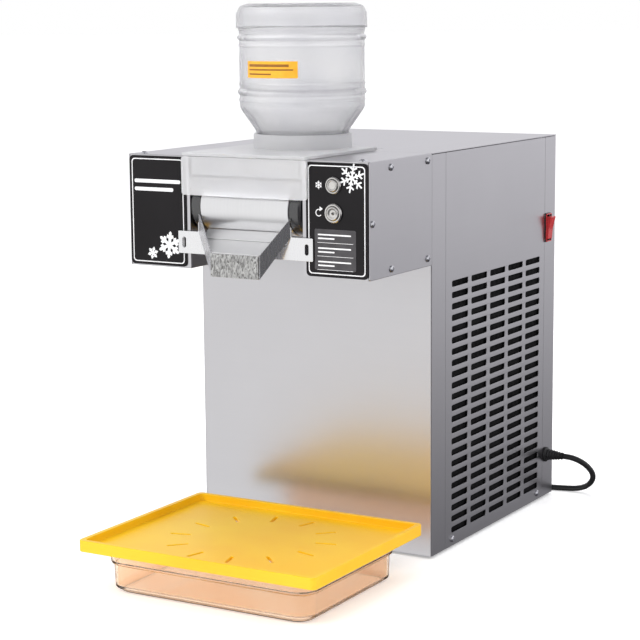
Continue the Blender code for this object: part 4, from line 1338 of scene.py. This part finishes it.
@dataclass
class Head:
    """The two boxes of the head with their covers, screws and printed control panels."""

    bench: Bench
    sheet: float = 1.2
    bore: float = 12.3
    drum: tuple[float, float] = (-99.5, 345.0)
    border: float = 0.9
    inset: float = 2.6
    ink: float = 0.12
    screw: Screw = field(default_factory=Screw)
    screw_places: tuple[tuple[float, float], ...] = (
        (-81.0, 385.0), (-9.0, 385.5), (-116.0, 337.0), (-80.5, 293.0), (-9.0, 294.0),
    )

    def build(self) -> None:
        """Makes both boxes and their panels."""
        for side in Side:
            self.box(side)
            self.cover(side)
            self.panel(side)
        self.right_print()
        self.left_print()

    def box(self, side: Side) -> None:
        """One folded box, open to its outer cover and to the back."""
        low, high = self.bench.mm(f"head_box_{side.word}")
        shape = block(low, high)
        inner = low.x if side is Side.RIGHT else high.x
        hollow = sorted((inner + side.value * self.sheet, side.value * 134.0))
        corner = (hollow[0], low.y + self.sheet, low.z + self.sheet)
        shape = carved(shape, block(corner, (hollow[1], 5, high.z - self.sheet)))
        wall = sorted((inner - side.value * 3, inner + side.value * 4))
        shape = carved(shape, prism(circle(self.bore, *self.drum, 40), Axis.X, *wall))
        if side is Side.RIGHT:
            for button in PushButton.both(self.bench):
                hole = circle(button.barrel + 0.4, button.x, button.z, 32)
                shape = carved(shape, prism(hole, Axis.Y, -130, -110))
        self.bench.piece(
            f"folded_box_{side.word}", shape, SATIN_STEEL, "cabinet", (f"head_box_{side.word}",),
            "sheet", 0.5, 3,
        )
        places = [(side.value * 118.0, -112.0)]
        shape = self.screw.row(Axis.Z, places, high.z, 1)
        self.bench.piece(f"head_top_screw_{side.word}", shape, ZINC, "cabinet")

    def cover(self, side: Side) -> None:
        """The flat outer cover and the five screws that hold it."""
        low, high = self.bench.mm(f"head_cover_{side.word}")
        outline = rectangle(high.y - low.y, high.z - low.z, 1.6, (low.y + high.y) / 2,
                            (low.z + high.z) / 2, 4)
        shape = plate(outline, [], Axis.X, low.x, high.x, 0.35)
        self.bench.piece(
            f"outer_cover_{side.word}", shape, SATIN_STEEL, "cabinet",
            (f"head_cover_{side.word}",), "sheet",
        )
        seat = high.x if side is Side.RIGHT else low.x
        shape = self.screw.row(Axis.X, list(self.screw_places), seat, side.value)
        self.bench.piece(f"cover_screws_{side.word}", shape, ZINC, "cabinet")

    def panel(self, side: Side) -> None:
        """The gloss black front panel and its thin white border line."""
        low, high = self.bench.mm(f"control_panel_{side.word}")
        centre = (low + high) / 2
        size = (high.x - low.x, high.z - low.z)
        holes = []
        if side is Side.RIGHT:
            holes = [circle(b.barrel + 0.4, b.x, b.z, 40) for b in PushButton.both(self.bench)]
        outline = rectangle(*size, 4.0, centre.x, centre.z, 8)
        shape = plate(outline, holes, Axis.Y, low.y, high.y, 0.2)
        self.bench.piece(
            f"black_panel_{side.word}", shape, BLACK_ACRYLIC, "cabinet",
            (f"control_panel_{side.word}",), "gloss_black",
        )
        rings = [
            rectangle(size[0] - 2 * inset, size[1] - 2 * inset, 4.0 - 0.6 * inset / self.inset,
                      centre.x, centre.z, 8)
            for inset in (self.inset, self.inset + self.border)
        ]
        self.print_on(f"border_line_{side.word}", rings[:1], rings[1:], WHITE_INK)

    def print_on(self, name: str, outlines: list[Outline], holes: list[Outline], finish: Finish,
                 lift: float = 0.0) -> None:
        """Lays ink of a set thickness on the black panels.

        Args:
            name: The print's name.
            outlines: What is filled, each clear of the others.
            holes: What is left open in it.
            finish: The ink.
            lift: How far it lies above the panel, where it is printed on other ink.
        """
        face = self.bench.mm("control_panel_right")[0].y - lift
        shape = merged([
            plate(outline, holes if i == 0 else [], Axis.Y, face - self.ink, face - 0.005, 0.02)
            for i, outline in enumerate(outlines)
        ])
        self.bench.piece(name, shape, finish, "cabinet")

    def bars(self, left: float, top: float, widths: tuple[float, ...], pitch: float,
             height: float) -> list[Outline]:
        """Plain bars under each other, where a panel has its lines of small print."""
        return [
            rectangle(width, height, height * 0.4, left + width / 2, top - pitch * i, 3)
            for i, width in enumerate(widths)
        ]

    def right_print(self) -> None:
        """Snow crystal, button symbols and the grey field with its plain bars."""
        crystal = Snowflake(13.5, 0.8, ((3.8, 1.9), (7.2, 3.6)), 80.0)
        self.print_on("crystal_right", [crystal.outline(112.5, 377.6)], [], WHITE_INK)
        cold = Snowflake(3.8, 0.3, ((1.8, 1.0),))
        self.print_on("cold_symbol", [cold.outline(78.5, 370.5)], [], WHITE_INK)
        arc = [math.radians(70 + 250 * i / 24) for i in range(25)]
        bow = [(78.5 + 3.4 * math.cos(t), 345.6 + 3.4 * math.sin(t)) for t in arc]
        bow += [(78.5 + 2.6 * math.cos(t), 345.6 + 2.6 * math.sin(t)) for t in reversed(arc)]
        arrow = [(79.4, 347.0), (79.4, 351.2), (82.6, 349.1)]
        self.print_on("turn_symbol", [bow, arrow], [], WHITE_INK)
        field_outline = rectangle(42.5, 37.0, 1.5, 95.2, 312.5, 5)
        self.print_on("grey_field", [field_outline], [], GREY_INK)
        rows = []
        for top in (326.0, 313.8, 301.6):
            rows += self.bars(77.5, top, (34.0, 17.0), 3.4, 1.3)
            rows.append(rectangle(37.0, 0.35, 0.15, 95.2, top - 7.2, 1))
        self.print_on("plain_bars", rows, [], WHITE_INK, self.ink)

    def left_print(self) -> None:
        """Two snow crystals and plain bars where the panel has its title."""
        big = Snowflake(13.0, 1.5, ((5.6, 2.9),), 84.0)
        self.print_on("crystal_left", [big.outline(-84.5, 307.5)], [], WHITE_INK)
        small = Snowflake(6.0, 0.8, ((2.6, 1.0),), 76.0)
        self.print_on("small_crystal_left", [small.outline(-103.6, 299.0)], [], WHITE_INK)
        bars = self.bars(-123.0, 367.0, (52.0, 44.0), 7.6, 3.4)
        self.print_on("title_bars", bars, [], WHITE_INK)


@dataclass
class PushButton:
    """One metal push button: threaded barrel with a bezel ring, and the cap that moves in it."""

    bench: Bench
    name: str
    body: str
    dish: float = 0.0

    def __post_init__(self) -> None:
        """Takes the button's place and sizes from its CAD nodes."""
        low, high = self.bench.mm(f"{self.name}_bezel")
        self.x, self.z = (low.x + high.x) / 2, (low.z + high.z) / 2
        self.front, self.back = low.y, high.y
        self.ring = (high.z - low.z) / 2
        self.barrel = self.ring - 1.4
        cap_low, cap_high = self.bench.mm(f"{self.name}_cap")
        self.cap = (cap_high.z - cap_low.z) / 2
        self.cap_front, self.cap_back = cap_low.y, cap_high.y

    @classmethod
    def both(cls, bench: Bench) -> list["PushButton"]:
        """The two buttons of the right panel, upper one first."""
        return [
            cls(bench, "button_cooling", "cooling_button"),
            cls(bench, "button_rotation", "rotation_button", 1.4),
        ]

    def build(self) -> None:
        """Turns the bezel and the cap."""
        seat = -121.9
        bore = self.cap + 0.3
        bezel = [
            (bore, self.front + 0.5), (bore + 0.5, self.front), (self.ring - 1.0, self.front),
            (self.ring, self.front + 1.2), (self.ring, seat), (self.barrel, seat),
            (self.barrel, self.back), (bore, self.back),
        ]
        shape = turned(eased(bezel, 0.35), Axis.Y, self.x, self.z)
        self.bench.piece(
            f"{self.name}_ring", shape, NICKEL, "cabinet", (f"{self.name}_bezel",), "polished"
        )
        front = self.cap_front
        if self.dish:
            face = [(0, front + 0.1), (0.9, front + 0.1), (1.5, front + self.dish),
                    (3.2, front + 0.75 * self.dish), (4.8, front + 0.2), (self.cap - 0.7, front)]
        else:
            face = [(0, front + 0.25), (3.3, front + 0.25), (3.6, front + 0.45), (3.9, front + 0.45),
                    (4.2, front), (self.cap - 0.7, front)]
        profile = face + [(self.cap, front + 0.6), (self.cap, self.cap_back), (0, self.cap_back)]
        shape = turned(eased(profile, 0.25), Axis.Y, self.x, self.z)
        self.bench.piece(
            f"{self.name}_face", shape, NICKEL, self.body, (f"{self.name}_cap",), "polished"
        )
        if self.dish:
            dot = turned([(0, front - 0.02), (0.8, front - 0.02), (0.9, front + 0.12),
                          (0, front + 0.12)], Axis.Y, self.x, self.z, 24)
            self.bench.piece(f"{self.name}_dot", dot, BLACK_NYLON, self.body)


@dataclass
class PowerSwitch:
    """The lit rocker switch in the rear strip of the right side."""

    bench: Bench
    y: float = 269.0
    z: float = 295.0
    window: tuple[float, float] = (11.8, 27.4)
    barrel: tuple[float, float] = (11.9, 28.2)
    seat: float = 130.3
    well_face: float = 129.9
    rim_height: float = 1.3
    rim_inset: float = 0.4
    rocker_half: float = 5.5
    rocker_side: tuple[tuple[float, float], ...] = (
        (133.2, 282.6), (134.2, 294.0), (137.5, 307.2), (131.0, 306.8), (122.0, 300.0),
        (122.0, 290.0), (128.0, 283.0),
    )

    def build(self) -> None:
        """Makes the frame and the rocker."""
        low, high = self.bench.mm("switch_bezel")
        width, height = high.y - low.y, high.z - low.z
        inset = 2 * self.rim_inset
        flange = rectangle(width, height, 1.6, self.y, self.z, 4)
        rim = rectangle(width - inset, height - inset, 1.2, self.y, self.z, 4)
        window = rectangle(*self.window, 0.8, self.y, self.z, 4)
        step = high.x - self.rim_height
        foot = plate(flange, [window], Axis.X, self.seat, step, 0.2)
        outer = rectangle(*self.barrel, 0.8, self.y, self.z, 4)
        face = self.well_face
        ends = [(outer, low.x), (outer, face), (window, face), (window, low.x)]
        well = loft([[Axis.X.point(u, v, x) for u, v in ring] for ring, x in ends], looped=True)
        self.bench.piece(
            "switch_frame", merged([foot, well]), BLACK_NYLON, "cabinet", ("switch_bezel",),
            "gloss_black",
        )
        raised = plate(rim, [window], Axis.X, step + 0.02, high.x, 0.3)
        self.bench.piece("switch_rim", raised, RED_POLYCARBONATE, "cabinet", slot="red_plastic")
        side = eased(list(self.rocker_side), 1.6, 4)
        rings = [
            [(x, self.y + y, z) for x, z in side] for y in (-self.rocker_half, self.rocker_half)
        ]
        self.bench.piece(
            "rocker_cap", loft(rings), RED_POLYCARBONATE, "rocker", ("power_rocker",),
            "red_plastic", 0.5, 3,
        )


# --- Drum, tank and bottle ------------------------------------------------------------------


@dataclass
class DrumLine:
    """The freezing drum between its end caps, and the drive behind it."""

    bench: Bench
    y: float = -99.5
    z: float = 345.0
    bore: float = 20.0
    radius: float = 24.6
    half: float = 47.5
    cap_radius: float = 23.8
    cap_bore: float = 6.0
    cap_out: float = 59.4

    def build(self) -> None:
        """Turns the drum and its caps, and finishes the drive's nodes."""
        sleeve = eased([
            (self.bore, -self.half), (self.radius, -self.half), (self.radius, self.half),
            (self.bore, self.half),
        ], 0.9, 4)
        shape = turned(sleeve, Axis.X, self.y, self.z, 128)
        self.bench.piece(
            "drum_sleeve", shape, GROUND_STEEL, "drum", ("freezing_drum",), "polished"
        )
        for side in Side:
            self.end_cap(side)
            self.bench.dress(f"shaft_bearing_{side.word}", BRIGHT_STEEL, 0.3)
        self.bench.dress("drum_shaft", GROUND_STEEL)
        self.bench.dress("drum_gear", NATURAL_NYLON, 0.15)
        self.bench.dress("motor_pinion", NATURAL_NYLON, 0.15)
        self.bench.dress("motor_shaft", GROUND_STEEL)
        self.bench.dress("gear_motor", POWDER_COAT, 0.6)
        self.bench.dress("rotary_joint", BRASS, 0.3)

    def end_cap(self, side: Side) -> None:
        """One moulded end cap with a step at its face."""
        inner, outer = side.value * (self.half + 0.3), side.value * self.cap_out
        shoulder = outer - side.value * 2.4
        profile = [
            (self.cap_bore, inner), (self.cap_radius, inner), (self.cap_radius, shoulder),
            (self.cap_radius - 1.6, outer), (self.cap_bore, outer),
        ]
        shape = turned(eased(profile, 0.8), Axis.X, self.y, self.z, 96)
        self.bench.piece(
            f"end_cap_{side.word}", shape, BLACK_ABS, "drum", (f"drum_end_cap_{side.word}",),
            "gloss_black",
        )


@dataclass
class Tank:
    """The clear tank over the drum, and its lid with the bottle's collar."""

    bench: Bench
    plate_half: float = 67.5
    plate_base: float = 356.0
    front: float = -124.8
    back: float = 31.0
    half: float = 60.2
    floor: float = 372.5
    top: float = 391.8
    wall: float = 2.5
    lid_base: float = 392.3
    lid_top: float = 395.3
    lid_back: float = 8.0
    bottle_y: float = -17.0
    seat_radius: float = 54.0
    collar: tuple[float, float, float] = (44.5, 46.9, 408.8)
    hole: float = 32.0
    drip_slot: tuple[float, float, float] = (42.0, -100.5, -98.5)

    def build(self) -> None:
        """Makes the tank and the lid."""
        self.trough()
        self.lid()

    def trough(self) -> None:
        """The front plate and the open trough behind it as one moulding."""
        height = self.top - self.plate_base
        outline = rectangle(2 * self.plate_half, height, 3.0, 0.0, self.plate_base + height / 2, 6)
        face = prism(outline, Axis.Y, self.front, self.front + self.wall)
        box = rectangle(2 * self.half, self.top - self.floor, 0.9, 0.0, (self.top + self.floor) / 2, 3)
        body = prism(box, Axis.Y, self.front + 1.2, self.back)
        inner = self.half - self.wall
        low = (-inner, self.front + 2 * self.wall, self.floor + self.wall)
        body = carved(body, block(low, (inner, self.back - self.wall, self.top + 5)))
        shape = joined(face, body)
        reach, near, far = self.drip_slot
        slot = block((-reach, near, self.floor - 5), (reach, far, self.floor + 5))
        shape = carved(shape, slot)
        self.bench.piece(
            "tank_moulding", shape, TANK_PLASTIC, "tank", ("liquid_tank",), "clear_plastic", 0.4, 2
        )

    def lid(self) -> None:
        """The flat lid, round behind the bottle, with its upright collar."""
        start = math.asin((self.lid_back - self.bottle_y) / self.seat_radius)
        half = self.plate_half
        back, front = self.lid_back, self.front
        corners = [(-half, back), (-half, front), (half, front), (half, back)]
        outline = eased(corners, 2.2, 4)
        steps = 40
        for i in range(steps + 1):
            angle = start + (math.pi - 2 * start) * i / steps
            outline.append((self.seat_radius * math.cos(angle),
                            self.bottle_y + self.seat_radius * math.sin(angle)))
        shape = plate(outline, [circle(self.hole, 0.0, self.bottle_y, 64)], Axis.Z, self.lid_base,
                      self.lid_top, 0.5)
        inner, outer, top = self.collar
        ring = [(inner, self.lid_top - 1), (outer, self.lid_top - 1), (outer, top - 0.6),
                (outer - 0.6, top), (inner + 0.6, top), (inner, top - 0.6)]
        shape = joined(shape, turned(ring, Axis.Z, 0.0, self.bottle_y, 96))
        self.bench.piece("lid_moulding", shape, TANK_PLASTIC, "lid", ("tank_lid",), "clear_plastic")


@dataclass
class Bottle:
    """The upturned water bottle, its screw cap, label and drip valve."""

    bench: Bench
    y: float = -17.0
    steps: int = 144
    flutes: int = 24
    flute_depth: float = 0.7
    flute_span: tuple[float, float] = (411.5, 433.0)
    ribs: tuple[float, ...] = (499.4, 448.4)
    label_half_angle: float = 27.0
    label_heights: tuple[float, float] = (462.5, 478.0)
    label_radius: float = 59.75

    def build(self) -> None:
        """Makes the bottle, its label, cap and valve."""
        self.wall()
        self.label()
        self.cap()
        self.valve()

    def wall(self) -> None:
        """The blown wall: rounded heel, two bead rings, fluted shoulder and neck."""
        outside = eased([
            (0.0, 531), (51, 531), (58.5, 528.5), (62, 522), (62.3, 508), (59.6, 508.2)
        ], 1.4, 4)
        for height in self.ribs:
            for rise, grow in ((7.6, 0.7), (0.0, 1.9), (-7.6, 0.7)):
                middle, half = height + rise, 1.2 + grow
                outside += [(59.6, middle + half), (59.6 + 0.7 * grow, middle + 0.5 * half),
                            (59.6 + grow, middle), (59.6 + 0.7 * grow, middle - 0.5 * half),
                            (59.6, middle - half)]
        outside += [(59.6, 434.5), (59.0, 432.6), (57.8, 430.4)]
        outside += [(57.8 - 13.2 * t / 8, 430.4 - 19.2 * t / 8) for t in range(1, 9)]
        outside += [(43.9, 408.6), (43.0, 406.2), (40.3, 404.1), (33.6, 397.4), (27.6, 391.4), (26, 390),
                    (26, 384)]
        inside = [
            (24.4, 384), (24.4, 390.5), (31.6, 397.6), (38.8, 404.8), (41.8, 408.6), (43.2, 412.2),
            (49.5, 421.2), (56.2, 431.0), (57.6, 433.6), (57.9, 436.0), (57.9, 508), (60.2, 510.4),
            (60.2, 521), (57.5, 527), (50, 529.3), (0.0, 529.3),
        ]
        shape = turned(outside + inside, Axis.Z, 0.0, self.y, self.steps)
        low, high = self.flute_span
        for vert in shape.verts:
            x, y = vert.co.x, vert.co.y - self.y
            if low < vert.co.z < high and math.hypot(x, y) > 42.0:
                share = math.sin(math.pi * (vert.co.z - low) / (high - low))
                angle = math.atan2(y, x)
                dip = self.flute_depth * share * (0.5 - 0.5 * math.cos(self.flutes * angle))
                scale = 1 - dip / math.hypot(x, y)
                vert.co.x *= scale
                vert.co.y = self.y + y * scale
        self.bench.piece(
            "blown_bottle", shape, BOTTLE_PLASTIC, "bottle", ("water_bottle",), "clear_plastic"
        )

    def patch(self, low: float, high: float, start: float, end: float, lift: float) -> Shape:
        """A thin curved patch on the bottle's wall.

        Args:
            low: Its lower edge's height.
            high: Its upper edge's height.
            start: Where it starts, in degrees to the right of the front.
            end: Where it ends.
            lift: How far it lies above the label.

        Returns:
            The closed patch.
        """
        steps = max(3, round((end - start) / 1.5))
        rings = []
        for i in range(steps + 1):
            angle = math.radians(start + (end - start) * i / steps)
            ring = []
            for radius, z in ((0.0, low), (0.12, low), (0.12, high), (0.0, high)):
                r = self.label_radius + lift + radius
                ring.append((r * math.sin(angle), self.y - r * math.cos(angle), z))
            rings.append(ring)
        return loft(rings)

    def label(self) -> None:
        """The amber label, with plain bars where print would be."""
        low, high = self.label_heights
        half = self.label_half_angle
        shape = self.patch(low, high, -half, half, 0.0)
        self.bench.piece("bottle_label", shape, AMBER_VINYL, "bottle")
        bars = [
            self.patch(high - 5.2, high - 2.8, -half + 3, half - 8, 0.13),
            self.patch(high - 8.6, high - 7.2, -half + 3, half - 4, 0.13),
            self.patch(low + 2.8, low + 4.2, -half + 3, 2, 0.13),
        ]
        self.bench.piece("label_bars", merged(bars), BROWN_INK, "bottle")

    def cap(self) -> None:
        """The screw cap, with fine grip ribs round its skirt."""
        outline = []
        ribs = 60
        for i in range(ribs * 2):
            radius = 29.0 if i % 2 else 28.5
            angle = math.pi * i / ribs
            outline.append((radius * math.cos(angle), self.y + radius * math.sin(angle)))
        skirt = prism(outline, Axis.Z, 378.6, 389.5)
        inner = turned([(0, 380.6), (26.3, 380.6), (26.3, 395), (0, 395)], Axis.Z, 0.0, self.y, 64)
        shape = carved(skirt, inner)
        shape = carved(shape, prism(circle(5.0, 0.0, self.y, 32), Axis.Z, 370, 385))
        self.bench.piece(
            "ribbed_cap", shape, WHITE_PP, "bottle", ("bottle_cap",), "white_plastic", 0.2
        )

    def valve(self) -> None:
        """The pin and its sealing disc."""
        profile = [
            (0, 376), (2.2, 376), (2.2, 381), (8, 381), (8, 382.5), (2.2, 382.5), (2.2, 387), (0, 387)
        ]
        shape = turned(eased(profile, 0.4), Axis.Z, 0.0, self.y, 40)
        self.bench.piece("drip_valve", shape, WHITE_PP, "valve", ("valve_pin",), "white_plastic")


# --- Chute ----------------------------------------------------------------------------------


@dataclass
class Chute:
    """The pull-off chute: eared frame with wings, sloped floor, grained lip and scraper."""

    bench: Bench
    sheet: float = 1.2
    back: float = -122.2
    ear_half: float = 73.0
    ear_slot: tuple[float, float] = (66.5, 311.4)
    wing_top: tuple[float, float] = (49.5, -124.0)
    wing_end: tuple[float, float] = (26.0, -139.5)
    heights_top: tuple[float, float] = (321.0, 338.5)
    heights_end: tuple[float, float] = (283.4, 305.2)
    foot: tuple[float, float] = (-139.0, 305.4)
    slope: float = 34.7
    grain_step: float = 1.15
    grain_height: float = 0.5

    def build(self) -> None:
        """Makes every part of the chute."""
        self.frame()
        self.floor()
        self.lip()
        self.scraper()

    def frame(self) -> None:
        """The bent frame: ears with hook slots, wings and front plate."""
        half = [
            (self.ear_half, 301), (self.ear_half, 322), (50.5, 322), (50.5, 331), (46.2, 331),
            (46.2, 312),
        ]
        outline = eased(half + mirrored(half), 0.9, 3)
        across, height = self.ear_slot
        holes = [rectangle(4.0, 10.0, 1.9, s.value * across, height, 5) for s in Side]
        shape = prism(outline, Axis.Y, self.back - self.sheet, self.back)
        for hole in holes:
            shape = carved(shape, prism(hole, Axis.Y, self.back - 5, self.back + 3))
        for side in Side:
            shape = joined(shape, self.wing(side))
        front = self.wing_end[1] - 0.4
        low = (-self.wing_end[0] - 0.5, front, self.heights_end[0])
        high = (self.wing_end[0] + 0.5, front + self.sheet, self.heights_end[1])
        shape = joined(shape, block(low, high))
        self.bench.piece(
            "bent_frame", shape, BRIGHT_STEEL, "chute", ("chute_frame",), "bright_sheet", 0.2
        )

    def wing(self, side: Side) -> Shape:
        """One upright side, which runs in and forwards from the drum's end."""
        top = Vector((side.value * self.wing_top[0], self.wing_top[1], 0))
        end = Vector((side.value * self.wing_end[0], self.wing_end[1], 0))
        along = (end - top).normalized()
        inward = Vector((-along.y, along.x, 0)) * self.sheet
        if inward.y < 0:
            inward = -inward
        rings = []
        for offset in (Vector((0, 0, 0)), inward):
            rings.append([
                tuple(place + offset + Vector((0, 0, z)))
                for place, z in ((top, self.heights_top[0]), (end, self.heights_end[0]),
                                 (end, self.heights_end[1]), (top, self.heights_top[1]))
            ])
        return loft(rings)

    def floor(self) -> None:
        """The sloped floor between the wings."""
        rise = math.tan(math.radians(self.slope))
        plan = eased([
            (-24.6, -138.2), (24.6, -138.2), (45.6, -124.4), (45.6, -115.2), (-45.6, -115.2),
            (-45.6, -124.4),
        ], 0.8, 3)
        rings = [
            [(x, y, self.foot[1] + rise * (y - self.foot[0]) - drop) for x, y in plan]
            for drop in (0.0, 1.0)
        ]
        self.bench.piece(
            "sloped_floor", loft(rings), WORN_STEEL, "chute", ("chute_floor",), "bright_sheet", 0.15
        )

    def lip(self) -> None:
        """The lip's front, stamped all over with irregular grains."""
        front, back = -141.4, -140.2
        half, low, high = self.wing_end[0] - 0.2, self.heights_end[0] + 0.4, self.heights_end[1] - 0.2
        columns = round(2 * half / self.grain_step)
        rows = round((high - low) / self.grain_step)
        shape = bmesh.new()
        grid = []
        for j in range(rows + 1):
            line = []
            for i in range(columns + 1):
                x, z = -half + 2 * half * i / columns, low + (high - low) * j / rows
                edge = i in (0, columns) or j in (0, rows)
                shift = noise.noise_vector(Vector((x, z, 3.0)) * 1.7) * (0.0 if edge else 0.45)
                raised = noise.noise(Vector((x * 1.1, z * 0.45, 9.0)))
                y = front + self.grain_height * (1.0 if edge else max(0.0, min(1.0, 0.5 - 1.3 * raised)))
                line.append(shape.verts.new((x + shift.x, y, z + shift.y)))
            grid.append(line)
        for j in range(rows):
            for i in range(columns):
                shape.faces.new((grid[j][i], grid[j][i + 1], grid[j + 1][i + 1], grid[j + 1][i]))
        rim = grid[0] + [line[-1] for line in grid[1:]] + grid[-1][-2::-1]
        rim += [line[0] for line in grid[-2:0:-1]]
        rear = [shape.verts.new((vert.co.x, back, vert.co.z)) for vert in rim]
        for i in range(len(rim)):
            j = (i + 1) % len(rim)
            shape.faces.new((rim[i], rim[j], rear[j], rear[i]))
        shape.faces.new(rear)
        # The lip's dark and pale grain tones are painted shade and glints.
        self.bench.piece(
            "stamped_lip", shape, GLINT_SHADED_EMBOSSED_STEEL, "chute", ("discharge_lip",), "bright_sheet"
        )

    def along_slope(self, start: float, end: float, low: float, high: float,
                    half_width: float) -> Shape:
        """A block on the slope: start and end run up it, low and high stand off it."""
        angle = math.radians(self.slope)
        along = Vector((0, math.cos(angle), math.sin(angle)))
        out = Vector((0, -math.sin(angle), math.cos(angle)))
        base = Vector((0, *self.foot))
        corners = ((start, low), (end, low), (end, high), (start, high))
        return loft([
            [tuple(base + Vector((x, 0, 0)) + along * s + out * h) for s, h in corners]
            for x in (-half_width, half_width)
        ])

    def scraper(self) -> None:
        """The scraper blade and the bar that stiffens the floor under it."""
        blade = self.along_slope(18.5, 31.6, 0.4, 1.2, 45.2)
        self.bench.piece(
            "steel_blade", blade, WORN_STEEL, "chute", ("scraper_blade",), "polished", 0.15
        )
        bar = self.along_slope(20.0, 29.0, -5.3, -1.5, 42.0)
        self.bench.piece("blade_bar", bar, POWDER_COAT, "chute", ("blade_holder",), "dark_metal", 0.5)


# --- Tray and bin ---------------------------------------------------------------------------


@dataclass
class Tray:
    """The free standing drip bin and the slotted yellow lid on it."""

    bench: Bench
    x: float = 22.0
    y: float = -151.0
    lid_size: tuple[float, float] = (250.0, 200.0)
    lid_heights: tuple[float, float, float] = (40.0, 44.0, 50.7)
    rim: float = 5.0
    slots: int = 12
    slot_reach: tuple[float, float] = (60.0, 80.0)
    slot_width: float = 3.0
    bin_size: tuple[float, float] = (220.0, 170.0)
    bin_wall: float = 2.2
    bin_floor: float = 2.0
    bin_rings: tuple[tuple[float, float, float], ...] = (
        (0.0, 10.5, 13.0), (0.6, 9.4, 13.8), (1.6, 8.6, 14.2), (4.0, 4.6, 17.6), (5.0, 4.0, 18.0),
        (25.6, 3.1, 19.0), (26.3, 2.6, 19.2), (27.3, 1.2, 19.8), (28.0, 0.9, 20.0), (39.6, 0.0, 20.0),
    )

    def build(self) -> None:
        """Makes the bin and its lid."""
        self.bin()
        self.lid()

    def bin(self) -> None:
        """The thin walled bin with its step."""
        rings = []
        for z, inset, radius in self.bin_rings:
            width, depth = (size - 2 * inset for size in self.bin_size)
            rings.append([(x, y, z) for x, y in rectangle(width, depth, radius, self.x, self.y, 10)])
        top = self.bin_rings[-1][0]
        for z, inset, radius in reversed(self.bin_rings):
            width, depth = (size - 2 * (inset + self.bin_wall) for size in self.bin_size)
            outline = rectangle(width, depth, radius - self.bin_wall, self.x, self.y, 10)
            height = top if z == top else z + self.bin_floor
            rings.append([(x, y, height) for x, y in outline])
        self.bench.piece(
            "bin_moulding", loft(rings), BIN_PLASTIC, "bin", ("drip_bin",), "tinted_plastic"
        )

    def lid(self) -> None:
        """The yellow lid: raised rim, sunk plate and drain slots in a ring."""
        base, recess, top = self.lid_heights
        outline = rectangle(*self.lid_size, 5.0, self.x, self.y, 8)
        shape = prism(outline, Axis.Z, base, top)
        width, depth = (size - 2 * self.rim for size in self.lid_size)
        sunk = rectangle(width, depth, 3.0, self.x, self.y, 6)
        shape = carved(shape, prism(sunk, Axis.Z, recess, top + 5))
        tools = []
        middle = sum(self.slot_reach) / 2
        length = self.slot_reach[1] - self.slot_reach[0]
        for i in range(self.slots):
            angle = 2 * math.pi * (i + 0.5) / self.slots
            cos, sin = math.cos(angle), math.sin(angle)
            slot = rectangle(length, self.slot_width, 1.45, middle, 0.0, 5)
            turned_slot = [(self.x + a * cos - b * sin, self.y + a * sin + b * cos) for a, b in slot]
            tools.append(prism(turned_slot, Axis.Z, base - 3, recess + 3))
        shape = carved(shape, merged(tools))
        self.bench.piece(
            "yellow_tray", shape, YELLOW_ABS, "tray", ("tray_lid",), "yellow_plastic", 0.8, 3
        )


# --- Cooling unit ---------------------------------------------------------------------------


@dataclass
class CoolingUnit:
    """The compressor and all that stands inside the cabinet, in their own finishes."""

    bench: Bench
    finishes: dict[str, tuple[Finish, float]] = field(default_factory=lambda: {
        "compressor": (POWDER_COAT, 0.0), "condenser": (FIN_ALUMINIUM, 0.2),
        "fan_shroud": (POWDER_COAT, 0.3), "fan_motor": (POWDER_COAT, 0.0),
        "cooling_fan": (NATURAL_NYLON, 0.2), "filter_drier": (COPPER, 0.0),
        "refrigerant_pipe": (COPPER, 0.0), "control_box": (WHITE_PP, 1.0),
    })

    def build(self) -> None:
        """Finishes each node."""
        for node, (finish, bevel) in self.finishes.items():
            self.bench.dress(node, finish, bevel)


# --- Build ----------------------------------------------------------------------------------


def main() -> None:
    """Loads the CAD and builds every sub-assembly over it."""
    logging.basicConfig(level=logging.INFO, format="%(levelname)s %(message)s")
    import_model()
    bench = Bench.from_cabinet()
    Viewpoint().set_up(bench)
    assemblies = (
        Lead(bench), Studio(), Cabinet(bench), Head(bench), *PushButton.both(bench),
        PowerSwitch(bench), DrumLine(bench), Tank(bench), Bottle(bench), Chute(bench), Tray(bench),
        CoolingUnit(bench),
    )
    for assembly in assemblies:
        assembly.build()
        LOG.info("%s built, %d pieces so far", type(assembly).__name__, bench.made)
    bpy.context.scene.view_settings.view_transform = "Standard"


if __name__ == "__main__":
    main()
